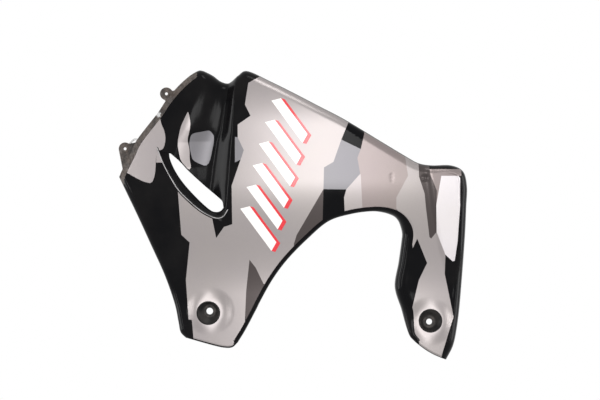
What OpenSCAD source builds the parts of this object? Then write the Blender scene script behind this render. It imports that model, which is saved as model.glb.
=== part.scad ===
// Left side cowl of a dual-sport motorcycle. It is one thin moulded shell with a rolled rim, a
// stepped screw flange, an air scoop that ends in a lipped vent, and two dished fixing points.
// Frame: millimetres, +X to the rear of the bike, +Z up, outer face towards -Y.
// The origin is the centre of the bore in the front grommet.

/* [Shell] */
// Wall thickness of the moulding
wall = 2.6; // [2:0.1:3.2]
// How far the middle of the skin stands out beyond the fixing holes
crown_h = 48; // [36:1:60]
// How far the skin falls back from its middle to the front point
front_fall = 62; // [50:1:75]
// How far the two legs are set back from the middle of the skin
leg_fall = 30; // [20:1:40]
// How far the skin falls back towards the front peak
top_fall = 16; // [8:1:24]

/* [Rim] */
// Width of the rolled edge along the top
top_roll_w = 15; // [10:1:20]
// Depth of the rolled edge along the top
top_roll_h = 17; // [10:1:24]
// Width of the rolled edge down the back
rear_roll_w = 12; // [8:1:16]
// Width of the rolled edge round the arch
arch_roll_w = 8; // [6:0.5:12]
// Depth of the rolled edge round the arch
arch_roll_h = 9; // [6:0.5:14]
// Extra width of the side wall down the inside of the rear leg
flank_w = 17; // [10:1:20]
// Extra depth of the side wall down the inside of the rear leg
flank_h = 20; // [10:1:26]
// Width of the rolled edge along the front and the leg ends
end_roll_w = 5; // [4:0.5:8]
// How far the rim turns straight back behind the rolled edge
rim_back = 7; // [5:0.5:10]
// Height of the raised border down the back of the rear leg
border_h = 1.8; // [0:0.1:3]
// Height of the soft fold that runs down the rear leg
fold_h = 4; // [0:0.5:6]
// Depth of the dimple at the top of the fold
dimple_h = 2.5; // [0:0.5:4]

/* [Flange] */
// Width of the screw flange
flange_w = 8.5; // [7:0.5:11]
// Step from the skin down to the flange
flange_step = 3; // [2:0.5:4]
// Radius of the screw tabs
tab_r = 11.5; // [10:0.5:13]
// Radius of the screw holes in the tabs
tab_hole_r = 2.6; // [2.2:0.1:3.2]
// Thickness of the screw tabs
tab_t = 5; // [4:0.5:7]
// Radius of the concave root of a screw tab
tab_root_r = 4; // [2:0.5:6]

/* [Scoop] */
// Depth of the air scoop at the top edge
scoop_top_depth = 17; // [12:1:22]
// Depth of the air scoop beside the vent
scoop_vent_depth = 25; // [18:1:30]
// Depth of the sloping wall from the vent's lip to the slot
lip_depth = 16; // [10:1:20]
// How far the lip stands proud of the skin
lip_proud = 1.2; // [0.8:0.1:2]

/* [Decal film] */
// Thickness of the decal film
film_t = 0.3; // [0.2:0.05:0.5]
// Bare margin of skin between a dish and the film
film_margin = 1.5; // [0.5:0.1:3]

/* [Fixing points] */
// Radius of the dish where it meets the skin
dish_r = 20; // [18:0.5:22]
// Radius of the flat floor of the dish
floor_r = 12.8; // [12.2:0.1:14]
// Depth of the dish
dish_depth = 9; // [7:0.5:12]
// Radius of the hole in the floor of the dish, which holds the grommet
seat_r = 9; // [8:0.1:9.5]
// Radius of the bore in the front grommet
front_bore_r = 6; // [5:0.1:6.5]
// Radius of the bore in the rear grommet
rear_bore_r = 5.3; // [4.5:0.1:6.5]
// Radius of the grommet's flanges
grommet_r = 11.4; // [10.5:0.1:12]
// Thickness of each grommet flange
grommet_lip = 1.6; // [1.2:0.1:2.2]

/* [Hidden] */
$fn = 48;

// Places on the panel, as [x, z]
rear_hole = [396, -19];
tab_upper = [-78, 392];
tab_lower = [-153, 293];
crown = [200, 240];
leg_top_z = 240;
leg_bottom_z = 30;
fall_top_z = 330;
skin_top_z = 434;
flange_end_x = -16;
sink = [328, 241];
// The front point, where the flange and the lower front edge meet
front_point = [-164, 242];

// Outline of the front part, as [x, z]
flange_edge = [front_point, [-155, 262], [-143, 286], [-130, 311], [-94, 357], [-80, 378], [-61, 401],
    [-40, 421], [-22, 433], [-14, 434], [-4, 430], [7, 424], [19, 415], [31, 411], [39, 414], [50, 424]];
front_edge = [front_point, [-132, 175], [-105, 116], [-82, 65], [-64, 14], [-57, -19], [-53, -38],
    [-44, -48]];
front_foot = [[-44, -48], [-26, -53], [7, -62], [27, -66], [41, -65], [51, -56]];
front_leg_edge = [[84, 3], [65, -33], [51, -56]];
// Crest of the scoop's right bank, from the top edge down to the front leg
ridge = [[50, 424], [46, 382], [44, 341], [44, 307], [40, 240], [36, 205], [33, 178], [36, 140],
    [48, 90], [64, 45], [84, 3]];
// Outer edge from the scoop to the tip of the rear leg, and the inner edge point by point below it
outer_edge = [[50, 424], [68, 433], [110, 414], [152, 393], [198, 369], [244, 345], [307, 307],
    [352, 280], [376, 267], [400, 263], [435, 263], [457, 252], [464, 225], [463, 190], [461, 139],
    [457, 76], [452, 13], [447, -28], [440, -62], [427, -88]];
inner_edge = [[84, 3], [94, 23], [114, 58], [140, 93], [176, 130], [214, 162], [254, 175],
    [290, 180], [312, 178], [330, 172], [339, 164], [344, 153], [347, 140], [346, 127], [341, 89],
    [334, 44], [346, 3], [354, -26], [361, -45], [370, -55]];
// How far the end of the rear leg bows out
foot_bow = 3.5;

// Vent slot, clockwise from its upper tip, and the crest of the lip beside it
slot_upper = [[-70, 284], [-54, 270], [-37, 252], [-10, 227], [15, 206], [23, 198], [25, 188]];
slot_lower = [[-73, 286], [-71, 273], [-61, 251], [-45, 228], [-22, 203], [-1, 184], [10, 179],
    [20, 181], [28, 191]];
lip_crest = [[-94, 296], [-83, 268], [-70, 243], [-54, 218], [-33, 197], [-16, 183], [-1, 174],
    [13, 169], [24, 172], [32, 184]];

// Grid of the shell: cells along the rear part, across it, and across the front part
cells_rear = 48;
cells_mid = 12;
cells_front = 20;
// Places of the rows in a rolled edge, as shares of its width
roll_rows = [0, 0.134, 0.5, 1];

// Curves
function ease(t) = let (c = max(0, min(1, t))) c * c * (3 - 2 * c);
// A smooth rise from 0 to 1 while v runs from one value to another
function rise(v, from, to) = ease((v - from) / (to - from));
function spline(p, t) =
    let (n = len(p) - 1, i = min(n - 1, max(0, floor(t))), f = t - i)
    let (b = p[i], c = p[i + 1], a = i > 0 ? p[i - 1] : 2 * b - c)
    let (d = i < n - 1 ? p[i + 2] : 2 * c - b)
    0.5 * (2 * b + (c - a) * f + (2 * a - 5 * b + 4 * c - d) * f * f + (3 * (b - c) + d - a) * f * f * f);
function fine(p, steps = 6) = [for (k = [0 : (len(p) - 1) * steps]) spline(p, k / steps)];
function lengths(p) =
    [for (i = 0, s = 0; i < len(p); s = s + (i + 1 < len(p) ? norm(p[i + 1] - p[i]) : 0), i = i + 1) s];
function table(s, p, axis) = [for (i = [0 : len(p) - 1]) [s[i], p[i][axis]]];
// A curve as a pair of tables by share of its length, and a point on it
function curve(p) =
    let (f = fine(p), s = lengths(f), total = s[len(s) - 1], share = [for (v = s) v / total])
    [table(share, f, 0), table(share, f, 1)];
function on(c, t) = [lookup(t, c[0]), lookup(t, c[1])];

flange_curve = curve(flange_edge);
front_curve = curve(front_edge);
foot_curve = curve(front_foot);
leg_curve = curve(front_leg_edge);
ridge_curve = curve(ridge);

// Distance from a point to a polyline
function seg_dist(q, a, b) =
    let (ab = b - a, t = max(0, min(1, (q - a) * ab / (ab * ab)))) norm(q - a - ab * t);
function line_dist(q, p) = min([for (i = [0 : len(p) - 2]) seg_dist(q, p[i], p[i + 1])]);

top_line = concat(fine(flange_edge, 3), fine(outer_edge, 3));
inner_line = concat(fine([for (i = [len(front_leg_edge) - 1 : -1 : 0]) front_leg_edge[i]], 2),
    fine(inner_edge, 3));
front_line = fine(front_edge, 2);
foot_line = fine(front_foot, 2);
foot_chord = [outer_edge[len(outer_edge) - 1], inner_edge[len(inner_edge) - 1]];
foot_dir = (foot_chord[1] - foot_chord[0]) / norm(foot_chord[1] - foot_chord[0]);
function foot_point(v) = foot_chord[0] * (1 - v) + foot_chord[1] * v
    + [-abs(foot_dir[1]), -abs(foot_dir[0])] * foot_bow * sin(180 * v);
rear_foot_line = [for (v = [0 : 0.125 : 1]) foot_point(v)];

// Widths and depths of the rolled edges, by place
rear_x = [400, 450];
rear_z = [290, 230];
flange_low_z = 200;
flange_fade = 22;
flank_x = [285, 325];
flank_z = [-62, 8, 145, 205];
step_w = 1.6;
function rear_share(q) = rise(q[0], rear_x[0], rear_x[1]) * rise(q[1], rear_z[0], rear_z[1]);
function flange_share(q) = q[1] < flange_low_z ? 0 : ease((flange_end_x - q[0]) / flange_fade);
function top_w(q) = top_roll_w + (rear_roll_w - top_roll_w) * rear_share(q);
function flank_share(q) = rise(q[0], flank_x[0], flank_x[1]) * rise(q[1], flank_z[0], flank_z[1])
    * rise(q[1], flank_z[3], flank_z[2]);
function arch_w(q) = arch_roll_w + flank_w * flank_share(q);
function arch_h(q) = arch_roll_h + flank_h * flank_share(q);
function roll(d, w, h) = d >= w ? 0 : h * (1 - sqrt(max(0, 1 - pow((w - d) / w, 2))));
function step_down(d) = flange_step * (1 - ease((d - flange_w) / step_w));

// Scoop: the wall up to the ridge, the slow rise to the front, and the end at the vent's lip
ridge_x = [[0, 84], [45, 64], [90, 48], [140, 36], [178, 33], [205, 36], [240, 40], [307, 44],
    [341, 44], [382, 46], [434, 51]];
crease_x = [[187, -3], [224, -3], [257, 1], [305, 9], [326, 17], [407, 32], [434, 33]];
bank_w = [[200, 70], [260, 84], [330, 66], [434, 46]];
scoop_d = [[150, 0], [178, scoop_vent_depth - 4], [200, scoop_vent_depth], [260, scoop_vent_depth - 3],
    [330, scoop_top_depth + 2], [434, scoop_top_depth]];
// Direction square to the slot on its upper side, and how far beyond the slot the scoop fades out
slot_side = [-0.739, -0.674];
slot_fade = [18, 2];
function scoop(q) =
    let (z = q[1], rx = lookup(z, ridge_x), cx = lookup(z, crease_x), depth = lookup(z, scoop_d))
    let (across = q[0] > cx ? ease((rx - q[0]) / (rx - cx)) : 1 - ease((cx - q[0]) / lookup(z, bank_w)))
    depth * across * rise((q - slot_upper[0]) * slot_side, slot_fade[0], slot_fade[1]);

// Height of the outer face above the fixing plane, without its rolled edges
leg_k = crown_h - leg_fall;
front_k = front_fall / pow(crown[0] - front_point[0], 2);
rear_k = (crown_h - leg_fall) / pow(rear_hole[0] - crown[0], 2);
hole_k = (crown_h - leg_fall) / pow(crown[0], 2);
function along(x) =
    x > crown[0] ? rear_k * pow(x - crown[0], 2)
    : x > 0 ? hole_k * pow(crown[0] - x, 2)
    : leg_k + 2 * hole_k * crown[0] * -x
        + (front_fall - leg_k - 2 * hole_k * crown[0] * -front_point[0]) * pow(x / front_point[0], 2);
function body(q) =
    crown_h - along(q[0]) - leg_fall * ease((leg_top_z - q[1]) / (leg_top_z - leg_bottom_z))
    - top_fall * pow(max(0, q[1] - fall_top_z) / (skin_top_z - fall_top_z), 2);
// Soft fold down the rear leg, with a dimple at its top
fold_x = [[60, 424], [102, 418], [190, 402], [262, 392]];
fold_w = 14;
fold_z = [60, 120, 245, 275];
dimple = [388, 240];
dimple_r = 9;
function fold(q) =
    fold_h * ease((q[0] - lookup(q[1], fold_x)) / fold_w + 0.5)
        * rise(q[1], fold_z[0], fold_z[1]) * rise(q[1], fold_z[3], fold_z[2])
    - dimple_h * ease(1 - norm(q - dimple) / dimple_r);
// Round a dish the skin flattens into the plane of the fixing holes
pad_w = 24;
pad_gap = 1;
function pad(q, c, h) = h * ease((norm(q - c) - dish_r - pad_gap) / pad_w);
function skin(q) = pad(q, [0, 0], pad(q, rear_hole, body(q) + fold(q) - scoop(q)));
// Raised border down the back of the rear leg, at a distance d from the outer edge
border_fade = 4;
border_z = [10, 70];
function border(q, d) = border_h * rear_share(q) * (1 - ease((d - rear_roll_w) / border_fade))
    * rise(q[1], border_z[0], border_z[1]);
function height(q) =
    let (dt = line_dist(q, top_line), fs = flange_share(q))
    let (top = fs * step_down(dt) + (1 - fs) * roll(dt, top_w(q), top_roll_h))
    let (arch = roll(line_dist(q, inner_line), arch_w(q), arch_h(q)))
    let (front = roll(line_dist(q, front_line), 2 * end_roll_w, 2 * end_roll_w))
    let (foot_d = min(line_dist(q, foot_line), line_dist(q, rear_foot_line)))
    let (foot = roll(foot_d, end_roll_w, end_roll_w))
    skin(q) + border(q, dt) - norm([top, arch, front, foot]);
function lift(q) = [q[0], -height(q), q[1]];

// Rows across the rear part, from the outer edge to the inner edge, as shares of the width
edge_n = len(roll_rows) - 1;
function rows(w, a, b) = concat([for (r = roll_rows) r * a / w],
    [for (k = [1 : cells_mid - 1]) (a + (w - a - b) * k / cells_mid) / w],
    [for (k = [edge_n : -1 : 0]) 1 - roll_rows[k] * b / w]);
rear_rows_n = cells_mid + 2 * edge_n;

// Rear part: stations spaced evenly along both edges, and closer at the tip of the leg
outer_fine = fine(outer_edge);
inner_fine = fine(inner_edge);
pair_len = lengths(outer_fine) + lengths(inner_fine);
pair_tables = [for (p = [outer_fine, inner_fine]) [table(pair_len, p, 0), table(pair_len, p, 1)]];
pair_total = pair_len[len(pair_len) - 1];
ridge_reach = 0.16;
foot_reach = 0.12;
function rear_point(u, v) =
    let (o = on(pair_tables[0], u * pair_total), n = on(pair_tables[1], u * pair_total))
    let (start = on(ridge_curve, v) - ridge[0] * (1 - v) - ridge[len(ridge) - 1] * v)
    let (end = foot_point(v) - foot_chord[0] * (1 - v) - foot_chord[1] * v)
    o * (1 - v) + n * v + start * pow(max(0, 1 - u / ridge_reach), 2)
        + end * pow(max(0, 1 - (1 - u) / foot_reach), 2);
function rear_share_at(i) =
    i > cells_rear - edge_n ? 1 - roll_rows[cells_rear - i] * 2 * end_roll_w / pair_total
    : (1 - 2 * end_roll_w / pair_total) * i / (cells_rear - edge_n);
function rear_line(u) =
    let (o = rear_point(u, 0), n = rear_point(u, 1))
    [for (v = rows(norm(o - n), top_w(o), arch_w(n))) rear_point(u, v)];

// Front part: a patch between its four sides, with rows that meet those of the rear part
ridge_len = norm(ridge[0] - ridge[len(ridge) - 1]);
ridge_part = 0.8;
ridge_rows = rows(ridge_len, top_w(ridge[0]), arch_w(ridge[len(ridge) - 1]));
// Length of the front leg below the ridge, and the shares of it where rows cross it
leg_tail = 60;
foot_share = end_roll_w / leg_tail;
leg_rows = concat([0.3, 0.62], [for (k = [edge_n : -1 : 0]) 1 - roll_rows[k] * foot_share]);
rows_down = concat([for (v = ridge_rows) v * ridge_part],
    [for (v = leg_rows) ridge_part + (1 - ridge_part) * v]);
front_rows_n = len(rows_down) - 1;
front_len = norm(front_edge[0] - front_edge[len(front_edge) - 1]);
flange_rows = [0, flange_w / 2, flange_w - 0.2, flange_w + step_w + 0.2];
// The columns meet the flange at a slant, so distances along them are this share of the true ones
slant = 0.88;
// How much wider the columns are spaced at the front than at the ridge
spread = 0.35;
function right_side(t) =
    t <= ridge_part ? on(ridge_curve, t / ridge_part)
    : on(leg_curve, (t - ridge_part) / (1 - ridge_part));
function down_share(s, j) =
    let (q = on(flange_curve, s), fs = flange_share(q))
    let (run = slant * ((1 - s) * front_len + s * ridge_len / ridge_part))
    let (edge = [for (k = [0 : edge_n]) (flange_rows[k] * fs + roll_rows[k] * top_w(q) * (1 - fs)) / run])
    let (meet = pow(s, 6))
    j <= edge_n ? edge[j] * (1 - meet) + rows_down[j] * meet
    : let (even = edge[edge_n] + (1 - edge[edge_n]) * (j - edge_n) / (front_rows_n - edge_n))
        even * (1 - s) + rows_down[j] * s;
function across_share(i, t) =
    let (w = norm(right_side(t) - on(front_curve, t)), a = 2 * end_roll_w / w, b = arch_roll_w / w)
    let (k = (i - edge_n) / (cells_front - 2 * edge_n))
    i < edge_n ? roll_rows[i] * a
    : i > cells_front - edge_n ? 1 - roll_rows[cells_front - i] * b
    : a + (1 - a - b) * k * (1 + spread * (1 - k));
function patch(s, t) =
    on(front_curve, t) * (1 - s) + right_side(t) * s
        + on(flange_curve, s) * (1 - t) + on(foot_curve, s) * t
        - front_edge[0] * (1 - s) * (1 - t) - ridge[0] * s * (1 - t)
        - front_foot[0] * (1 - s) * t - front_foot[len(front_foot) - 1] * s * t;
function front_line_at(i) =
    [for (j = [0 : front_rows_n]) let (s = across_share(i, j / front_rows_n)) patch(s, down_share(s, j))];

// The whole outer face as columns of points: the front part, then the rear part
columns = concat([for (i = [0 : cells_front]) [for (q = front_line_at(i)) lift(q)]],
    [for (i = [1 : cells_rear]) [for (q = rear_line(rear_share_at(i))) lift(q)]]);
last = cells_front + cells_rear;
function has(i, j) = i >= 0 && j >= 0 && i <= last && j <= (i <= cells_front ? front_rows_n : rear_rows_n);
function at(i, j, i0, j0) = has(i, j) ? columns[i][j] : columns[i0][j0];
function unit(v) = v / norm(v);
function normal(i, j) =
    unit(cross(at(i, j + 1, i, j) - at(i, j - 1, i, j), at(i + 1, j, i, j) - at(i - 1, j, i, j)));
function id(i, j) =
    i <= cells_front ? i * (front_rows_n + 1) + j
    : (cells_front + 1) * (front_rows_n + 1) + (i - cells_front - 1) * (rear_rows_n + 1) + j;
skin_n = id(last, rear_rows_n) + 1;
skin_at = [for (i = [0 : last]) for (j = [0 : len(columns[i]) - 1]) [i, j]];
rim_at = concat([for (i = [0 : last]) [i, 0]],
    [for (j = [1 : rear_rows_n]) [last, j]],
    [for (i = [last - 1 : -1 : cells_front]) [i, rear_rows_n]],
    [for (j = [rear_rows_n + 1 : front_rows_n]) [cells_front, j]],
    [for (i = [cells_front - 1 : -1 : 0]) [i, front_rows_n]],
    [for (j = [front_rows_n - 1 : -1 : 1]) [0, j]]);
rim_n = len(rim_at);
function rim_point(k) = let (c = rim_at[(k + rim_n) % rim_n]) columns[c[0]][c[1]];
// Outward direction of the rim in the plane of the panel
function rim_out(k) =
    let (d = rim_point(k + 1) - rim_point(k - 1)) unit([-d[2], 0, d[0]]);
// Behind the flange the rim is only this many wall thicknesses deep
flange_back = 1.3;
rim_back_at = [for (k = [0 : rim_n - 1]) let (p = rim_point(k), fs = flange_share([p[0], p[2]]))
    rim_back * (1 - fs) + flange_back * wall * fs];
rim_inner = [for (k = [0 : rim_n - 1]) rim_point(k)
    - wall * unit(rim_out(k) + normal(rim_at[k][0], rim_at[k][1]))];
function quad(a, b, c, d) = [[a, b, c], [a, c, d]];
function skin_faces(i0, i1, j1) =
    [for (i = [i0 : i1 - 1]) for (j = [0 : j1 - 1])
        each quad(id(i, j), id(i + 1, j), id(i + 1, j + 1), id(i, j + 1))];

// The moulded shell: outer face, inner face one wall behind it, and the rim turned back
module shell() {
    faces = concat(skin_faces(0, cells_front, front_rows_n), skin_faces(cells_front, last, rear_rows_n));
    outer = [for (c = skin_at) columns[c[0]][c[1]]];
    inner = [for (c = skin_at) columns[c[0]][c[1]] - wall * normal(c[0], c[1])];
    rim_ids = [for (c = rim_at) id(c[0], c[1])];
    back = [for (k = [0 : rim_n - 1]) rim_point(k) + [0, rim_back_at[k], 0]];
    back_inner = [for (k = [0 : rim_n - 1]) [rim_inner[k][0], back[k][1], rim_inner[k][2]]];
    // The inner face without its rim points, which the turned edge gives instead
    is_rim = [for (c = skin_at) c[0] == 0 || c[1] == 0 || c[0] == last
        || (c[0] <= cells_front ? c[1] == front_rows_n : c[1] == rear_rows_n)
        || (c[0] == cells_front && c[1] >= rear_rows_n)];
    slot_of = [for (n = [0 : skin_n - 1]) is_rim[n] ? search(n, rim_ids)[0] : -1];
    inner_pts = [for (n = [0 : skin_n - 1]) is_rim[n] ? rim_inner[slot_of[n]] : inner[n]];
    base = 2 * skin_n;
    polyhedron(concat(outer, inner_pts, back, back_inner),
        concat(faces, [for (f = faces) [f[0] + skin_n, f[2] + skin_n, f[1] + skin_n]],
            [for (k = [0 : rim_n - 1]) let (m = (k + 1) % rim_n)
                each concat(quad(rim_ids[k], base + k, base + m, rim_ids[m]),
                    quad(base + k, base + rim_n + k, base + rim_n + m, base + m),
                    quad(base + rim_n + k, skin_n + rim_ids[k], skin_n + rim_ids[m], base + rim_n + m))]));
}

// Turns a flat outline in [x, z] into a block through the panel, from y0 to y1
module through(outline, y0, y1) {
    translate([0, y1, 0]) rotate([90, 0, 0]) linear_extrude(y1 - y0) polygon(outline);
}

// A cylinder along Y at a place on the panel, from y0 to y1
module round_bar(q, r, y0, y1) {
    translate([q[0], y1, q[1]]) rotate([90, 0, 0]) cylinder(r = r, h = y1 - y0);
}

// How far a cut runs clear of the shell on each side, and how far the lip runs past its cut
cut = 60;
lip_over = 0.045;
lip_bead = 2.4;
lip_n = 18;
// Depth of the lip's wall at the front tip, and the share of the lip where it reaches its full depth
lip_tip_depth = 1.3;
lip_full = 5 / 12;
// Extra thickness behind the crest of the lip
lip_back = 1.6;
function lip_side(t) =
    let (d = unit(on(lip_curve, min(1, t + 0.02)) - on(lip_curve, max(0, t - 0.02)))) [d[1], -d[0]];
lip_curve = curve(lip_crest);
slot_curve = curve(slot_lower);

// The opening cut in the skin: the slot, widened to the crest of the lip on its lower side
module vent_cut() {
    upper = fine(slot_upper, 3);
    lower = [for (k = [lip_n : -1 : 0]) on(lip_curve, lip_over + (1 - 2 * lip_over) * k / lip_n)];
    through(concat(upper, lower), -cut, cut);
}

// The lip: a bead along its crest, and the sloping wall down to the edge of the slot
module vent_lip() {
    sections = [for (k = [0 : lip_n]) let (t = k / lip_n, c = on(lip_curve, t), e = on(slot_curve, t))
        let (o = c + lip_side(t) * lip_bead, y = -height(c), yo = -height(o))
        let (deep = lip_tip_depth + (lip_depth - lip_tip_depth) * ease(t / lip_full))
        [[o[0], yo - lip_proud / 3, o[1]], [c[0], y - lip_proud, c[1]], [e[0], y + deep, e[1]],
         [e[0], y + deep + wall, e[1]], [c[0], y + wall + lip_back, c[1]],
         [o[0], yo + wall + lip_back / 2, o[1]]]];
    m = len(sections[0]);
    polyhedron([for (r = sections) each r],
        concat([for (k = [0 : lip_n - 1]) for (i = [0 : m - 1]) let (n = (i + 1) % m)
            each quad(k * m + i, k * m + n, (k + 1) * m + n, (k + 1) * m + i)],
            [for (i = [1 : m - 2]) [0, i + 1, i]],
            [for (i = [1 : m - 2]) [lip_n * m, lip_n * m + i, lip_n * m + i + 1]]));
}

// Dished fixing point: a cup behind the skin, which starts inside the skin's thickness
cup_sunk = 0.5;
module dish_cup(q, lean) {
    translate([q[0], 0, q[1]]) rotate([90, 0, 0]) hull() {
        translate([lean[0], lean[1], cup_sunk - wall]) cylinder(r = dish_r + wall - 0.4, h = 1);
        translate([0, 0, -dish_depth - wall]) cylinder(r = floor_r + wall, h = 1);
    }
}
module dish_hollow(q, lean) {
    translate([q[0], 0, q[1]]) rotate([90, 0, 0]) hull() {
        translate([lean[0], lean[1], 0]) cylinder(r = dish_r, h = 1);
        translate([0, 0, -dish_depth]) cylinder(r = floor_r, h = 1);
    }
}
// The rim of each dish leans off the bore, because the dish opens at a slant
front_lean = [-2.4, -3.4];
rear_lean = [2.2, 1.6];

// Screw tab: a round ear that stands at a distance from a line, with concave roots on that line.
// The line points along the flange, and the ear is on its left.
module ear(q, from, to) {
    d = unit(to - from);
    n = [-d[1], d[0]];
    off = (q - from) * n;
    foot = from + d * ((q - from) * d);
    reach = sqrt(pow(tab_r + tab_root_r, 2) - pow(off - tab_root_r, 2));
    root_n = 5;
    arc = acos((off - tab_root_r) / (tab_r + tab_root_r));
    root = [for (k = [0 : root_n]) let (w = (180 - arc) * k / root_n)
        [reach - tab_root_r * sin(w), tab_root_r * (1 - cos(w))]];
    polygon([for (p = concat([[-reach, -sunk]], [for (r = root) [-r[0], r[1]]],
        [for (k = [root_n - 1 : -1 : 0]) root[k]], [[reach, -sunk]])) foot + d * p[0] + n * p[1]]);
    translate(q) circle(r = tab_r);
}
// How far a screw tab runs in under the flange
sunk = 6;
// Plate that joins the lower tab to the flange, and the clip loop on its upper edge
lower_plate = [[-164.4, 291.5], [-157.5, 256], [-148, 262], [-126, 306], [-146, 302]];
loop_outer = [[-147, 300], [-142, 308], [-135, 312], [-129, 311], [-124, 306]];
loop_inner = [[-141, 304], [-138.5, 307.5], [-134.5, 309.6], [-130.5, 308.8], [-128.5, 306.4]];
module tab(q) {
    y = tab_face(q);
    difference() {
        translate([0, y + tab_t, 0]) rotate([90, 0, 0]) linear_extrude(tab_t) children();
        round_bar(q, tab_hole_r, y - 1, y + tab_t + 1);
    }
}
function tab_face(q) = -skin(q) + flange_step;

// Locating peg behind the sink mark
peg_r = 4;
peg_len = 14;
module peg() {
    round_bar(sink, peg_r, -height(sink) + wall / 2, -height(sink) + wall + peg_len);
}

module panel() {
    color([0.07, 0.07, 0.08]) difference() {
        union() {
            difference() {
                shell();
                vent_cut();
            }
            vent_lip();
            dish_cup([0, 0], front_lean);
            dish_cup(rear_hole, rear_lean);
            tab(tab_upper) ear(tab_upper, flange_edge[4], flange_edge[6]);
            tab(tab_lower) union() {
                ear(tab_lower, flange_edge[1], flange_edge[3]);
                polygon(lower_plate);
                difference() {
                    polygon(loop_outer);
                    polygon(loop_inner);
                }
            }
            peg();
        }
        dish_hollow([0, 0], front_lean);
        dish_hollow(rear_hole, rear_lean);
        round_bar([0, 0], seat_r, -1, dish_depth + wall + 1);
        round_bar(rear_hole, seat_r, -1, dish_depth + wall + 1);
    }
}

// Taper of the grommet's back flange, which is pushed through the hole
grommet_taper = 0.6;
// Rubber grommet: a sleeve through the floor of the dish, with a flange on each side
module grommet(q, bore_r) {
    front = dish_depth - grommet_lip;
    back = dish_depth + wall;
    color([0.12, 0.12, 0.12]) translate([q[0], 0, q[1]]) rotate([-90, 0, 0]) rotate_extrude()
        polygon([[bore_r, front], [grommet_r, front], [grommet_r, dish_depth], [seat_r, dish_depth],
            [seat_r, back], [grommet_r, back], [grommet_r - grommet_taper, back + grommet_lip],
            [bore_r, back + grommet_lip]]);
}

// A layer of film over the outer face, short of the flange, the rolled rim and the leg ends
film_left = edge_n;
film_leg_right = cells_front - edge_n;
film_leg_bottom = front_rows_n - 2;
film_right = last - 1;
film_low = rear_rows_n - edge_n;
film_cells = concat([for (i = [film_left : cells_front - 1]) for (j = [edge_n : film_low - 1]) [i, j]],
    [for (i = [film_left : film_leg_right - 1]) for (j = [film_low : film_leg_bottom - 1]) [i, j]],
    [for (i = [cells_front : film_right - 1]) for (j = [1 : film_low - 1]) [i, j]]);
film_edge = concat([for (i = [film_left : cells_front]) id(i, edge_n)],
    [for (j = [edge_n - 1 : -1 : 1]) id(cells_front, j)],
    [for (i = [cells_front + 1 : film_right]) id(i, 1)],
    [for (j = [2 : film_low]) id(film_right, j)],
    [for (i = [film_right - 1 : -1 : film_leg_right]) id(i, film_low)],
    [for (j = [film_low + 1 : film_leg_bottom]) id(film_leg_right, j)],
    [for (i = [film_leg_right - 1 : -1 : film_left]) id(i, film_leg_bottom)],
    [for (j = [film_leg_bottom - 1 : -1 : edge_n + 1]) id(film_left, j)]);
module film_layer(level) {
    under = [for (c = skin_at) columns[c[0]][c[1]] + level * film_t * normal(c[0], c[1])];
    over = [for (c = skin_at) columns[c[0]][c[1]] + (level + 1) * film_t * normal(c[0], c[1])];
    tops = [for (c = film_cells) let (i = c[0], j = c[1])
        each quad(id(i, j), id(i + 1, j), id(i + 1, j + 1), id(i, j + 1))];
    polyhedron(concat(over, under), concat(tops,
        [for (f = tops) [f[0] + skin_n, f[2] + skin_n, f[1] + skin_n]],
        [for (k = [0 : len(film_edge) - 1]) let (a = film_edge[k], b = film_edge[(k + 1) % len(film_edge)])
            each quad(a, a + skin_n, b + skin_n, b)]));
}

// Film of one tone: the layer inside its fields, cut back round the dishes. Level 1 lies on level 0.
module film(tone, fields, level = 0) {
    color(tone) difference() {
        intersection() {
            film_layer(level);
            union() for (f = fields) through(f, -cut, cut);
        }
        round_bar(front_lean, dish_r + film_margin, -cut, cut);
        round_bar(rear_hole + rear_lean, dish_r + film_margin, -cut, cut);
    }
}

// Fields of the camouflage pattern, as [x, z]; where a field runs past the film layer, the layer ends it
under_lip = [for (k = [8 : 15]) on(lip_curve, k / lip_n) + lip_side(k / lip_n) * (lip_bead + film_margin)];
body_silver = concat([[86, 442], [71, 409], [64, 372], [74, 352], [51, 336], [51, 313], [62, 290],
    [40, 226], [41, 157], [26, 152], [12, 132]], [for (k = [7 : -1 : 0]) under_lip[k]],
    [[-51, 138], [-36, 124], [-43, 56], [-38, -15], [-32, -16], [-27, -80], [62, -80],
    [64, -8], [66, 37], [72, 93], [83, 79], [97, 50], [125, 30], [152, 100], [152, 122], [157, 138],
    [205, 220], [206, 259], [223, 269], [237, 309], [249, 338], [262, 352]]);
arch_silver = [[242, 205], [272, 246], [275, 184], [275, 160], [244, 160]];
rear_silver = [[352, 295], [352, 276], [357, 244], [336, 205], [336, 184], [352, 167], [362, 149],
    [366, 114], [374, 131], [392, 87], [377, 56], [365, 5], [363, -60], [414, -100], [420, -75],
    [440, -10], [424, 67], [425, 102], [409, 143], [399, 131], [396, 134], [389, 190], [387, 212],
    [377, 242], [375, 290]];
nose_silver = [[-92, 362], [-87, 337], [-81, 325], [-79, 309], [-83, 292], [-96, 288], [-98, 247],
    [-104, 230], [-121, 234], [-143, 246], [-170, 262], [-120, 340]];
streak = [[-38, 362], [-34, 338], [-36, 325], [-40, 309], [-36, 292], [-36, 273], [-33, 260],
    [-37, 254], [-52, 271], [-55, 285], [-58, 303], [-52, 332], [-45, 347]];
scoop_grey = [[-33, 320], [-11, 324], [-1, 326], [4, 322], [8, 316], [8, 305], [-2, 259], [-30, 271],
    [-34, 285], [-37, 302]];
bank_grey = [[48, 307], [62, 290], [57, 273], [46, 268]];
main_grey = [[237, 309], [272, 292], [266, 276], [270, 249], [244, 219], [205, 220], [206, 259],
    [223, 269]];
light_taupe = [[278, 335], [278, 318], [272, 292], [266, 276], [270, 249], [272, 246], [275, 184],
    [275, 160], [336, 160], [336, 205], [357, 244], [352, 276], [352, 295]];
corner_taupe = [[397, 247], [396, 256], [453, 256], [453, 244], [417, 244], [408, 192], [409, 217]];
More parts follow.
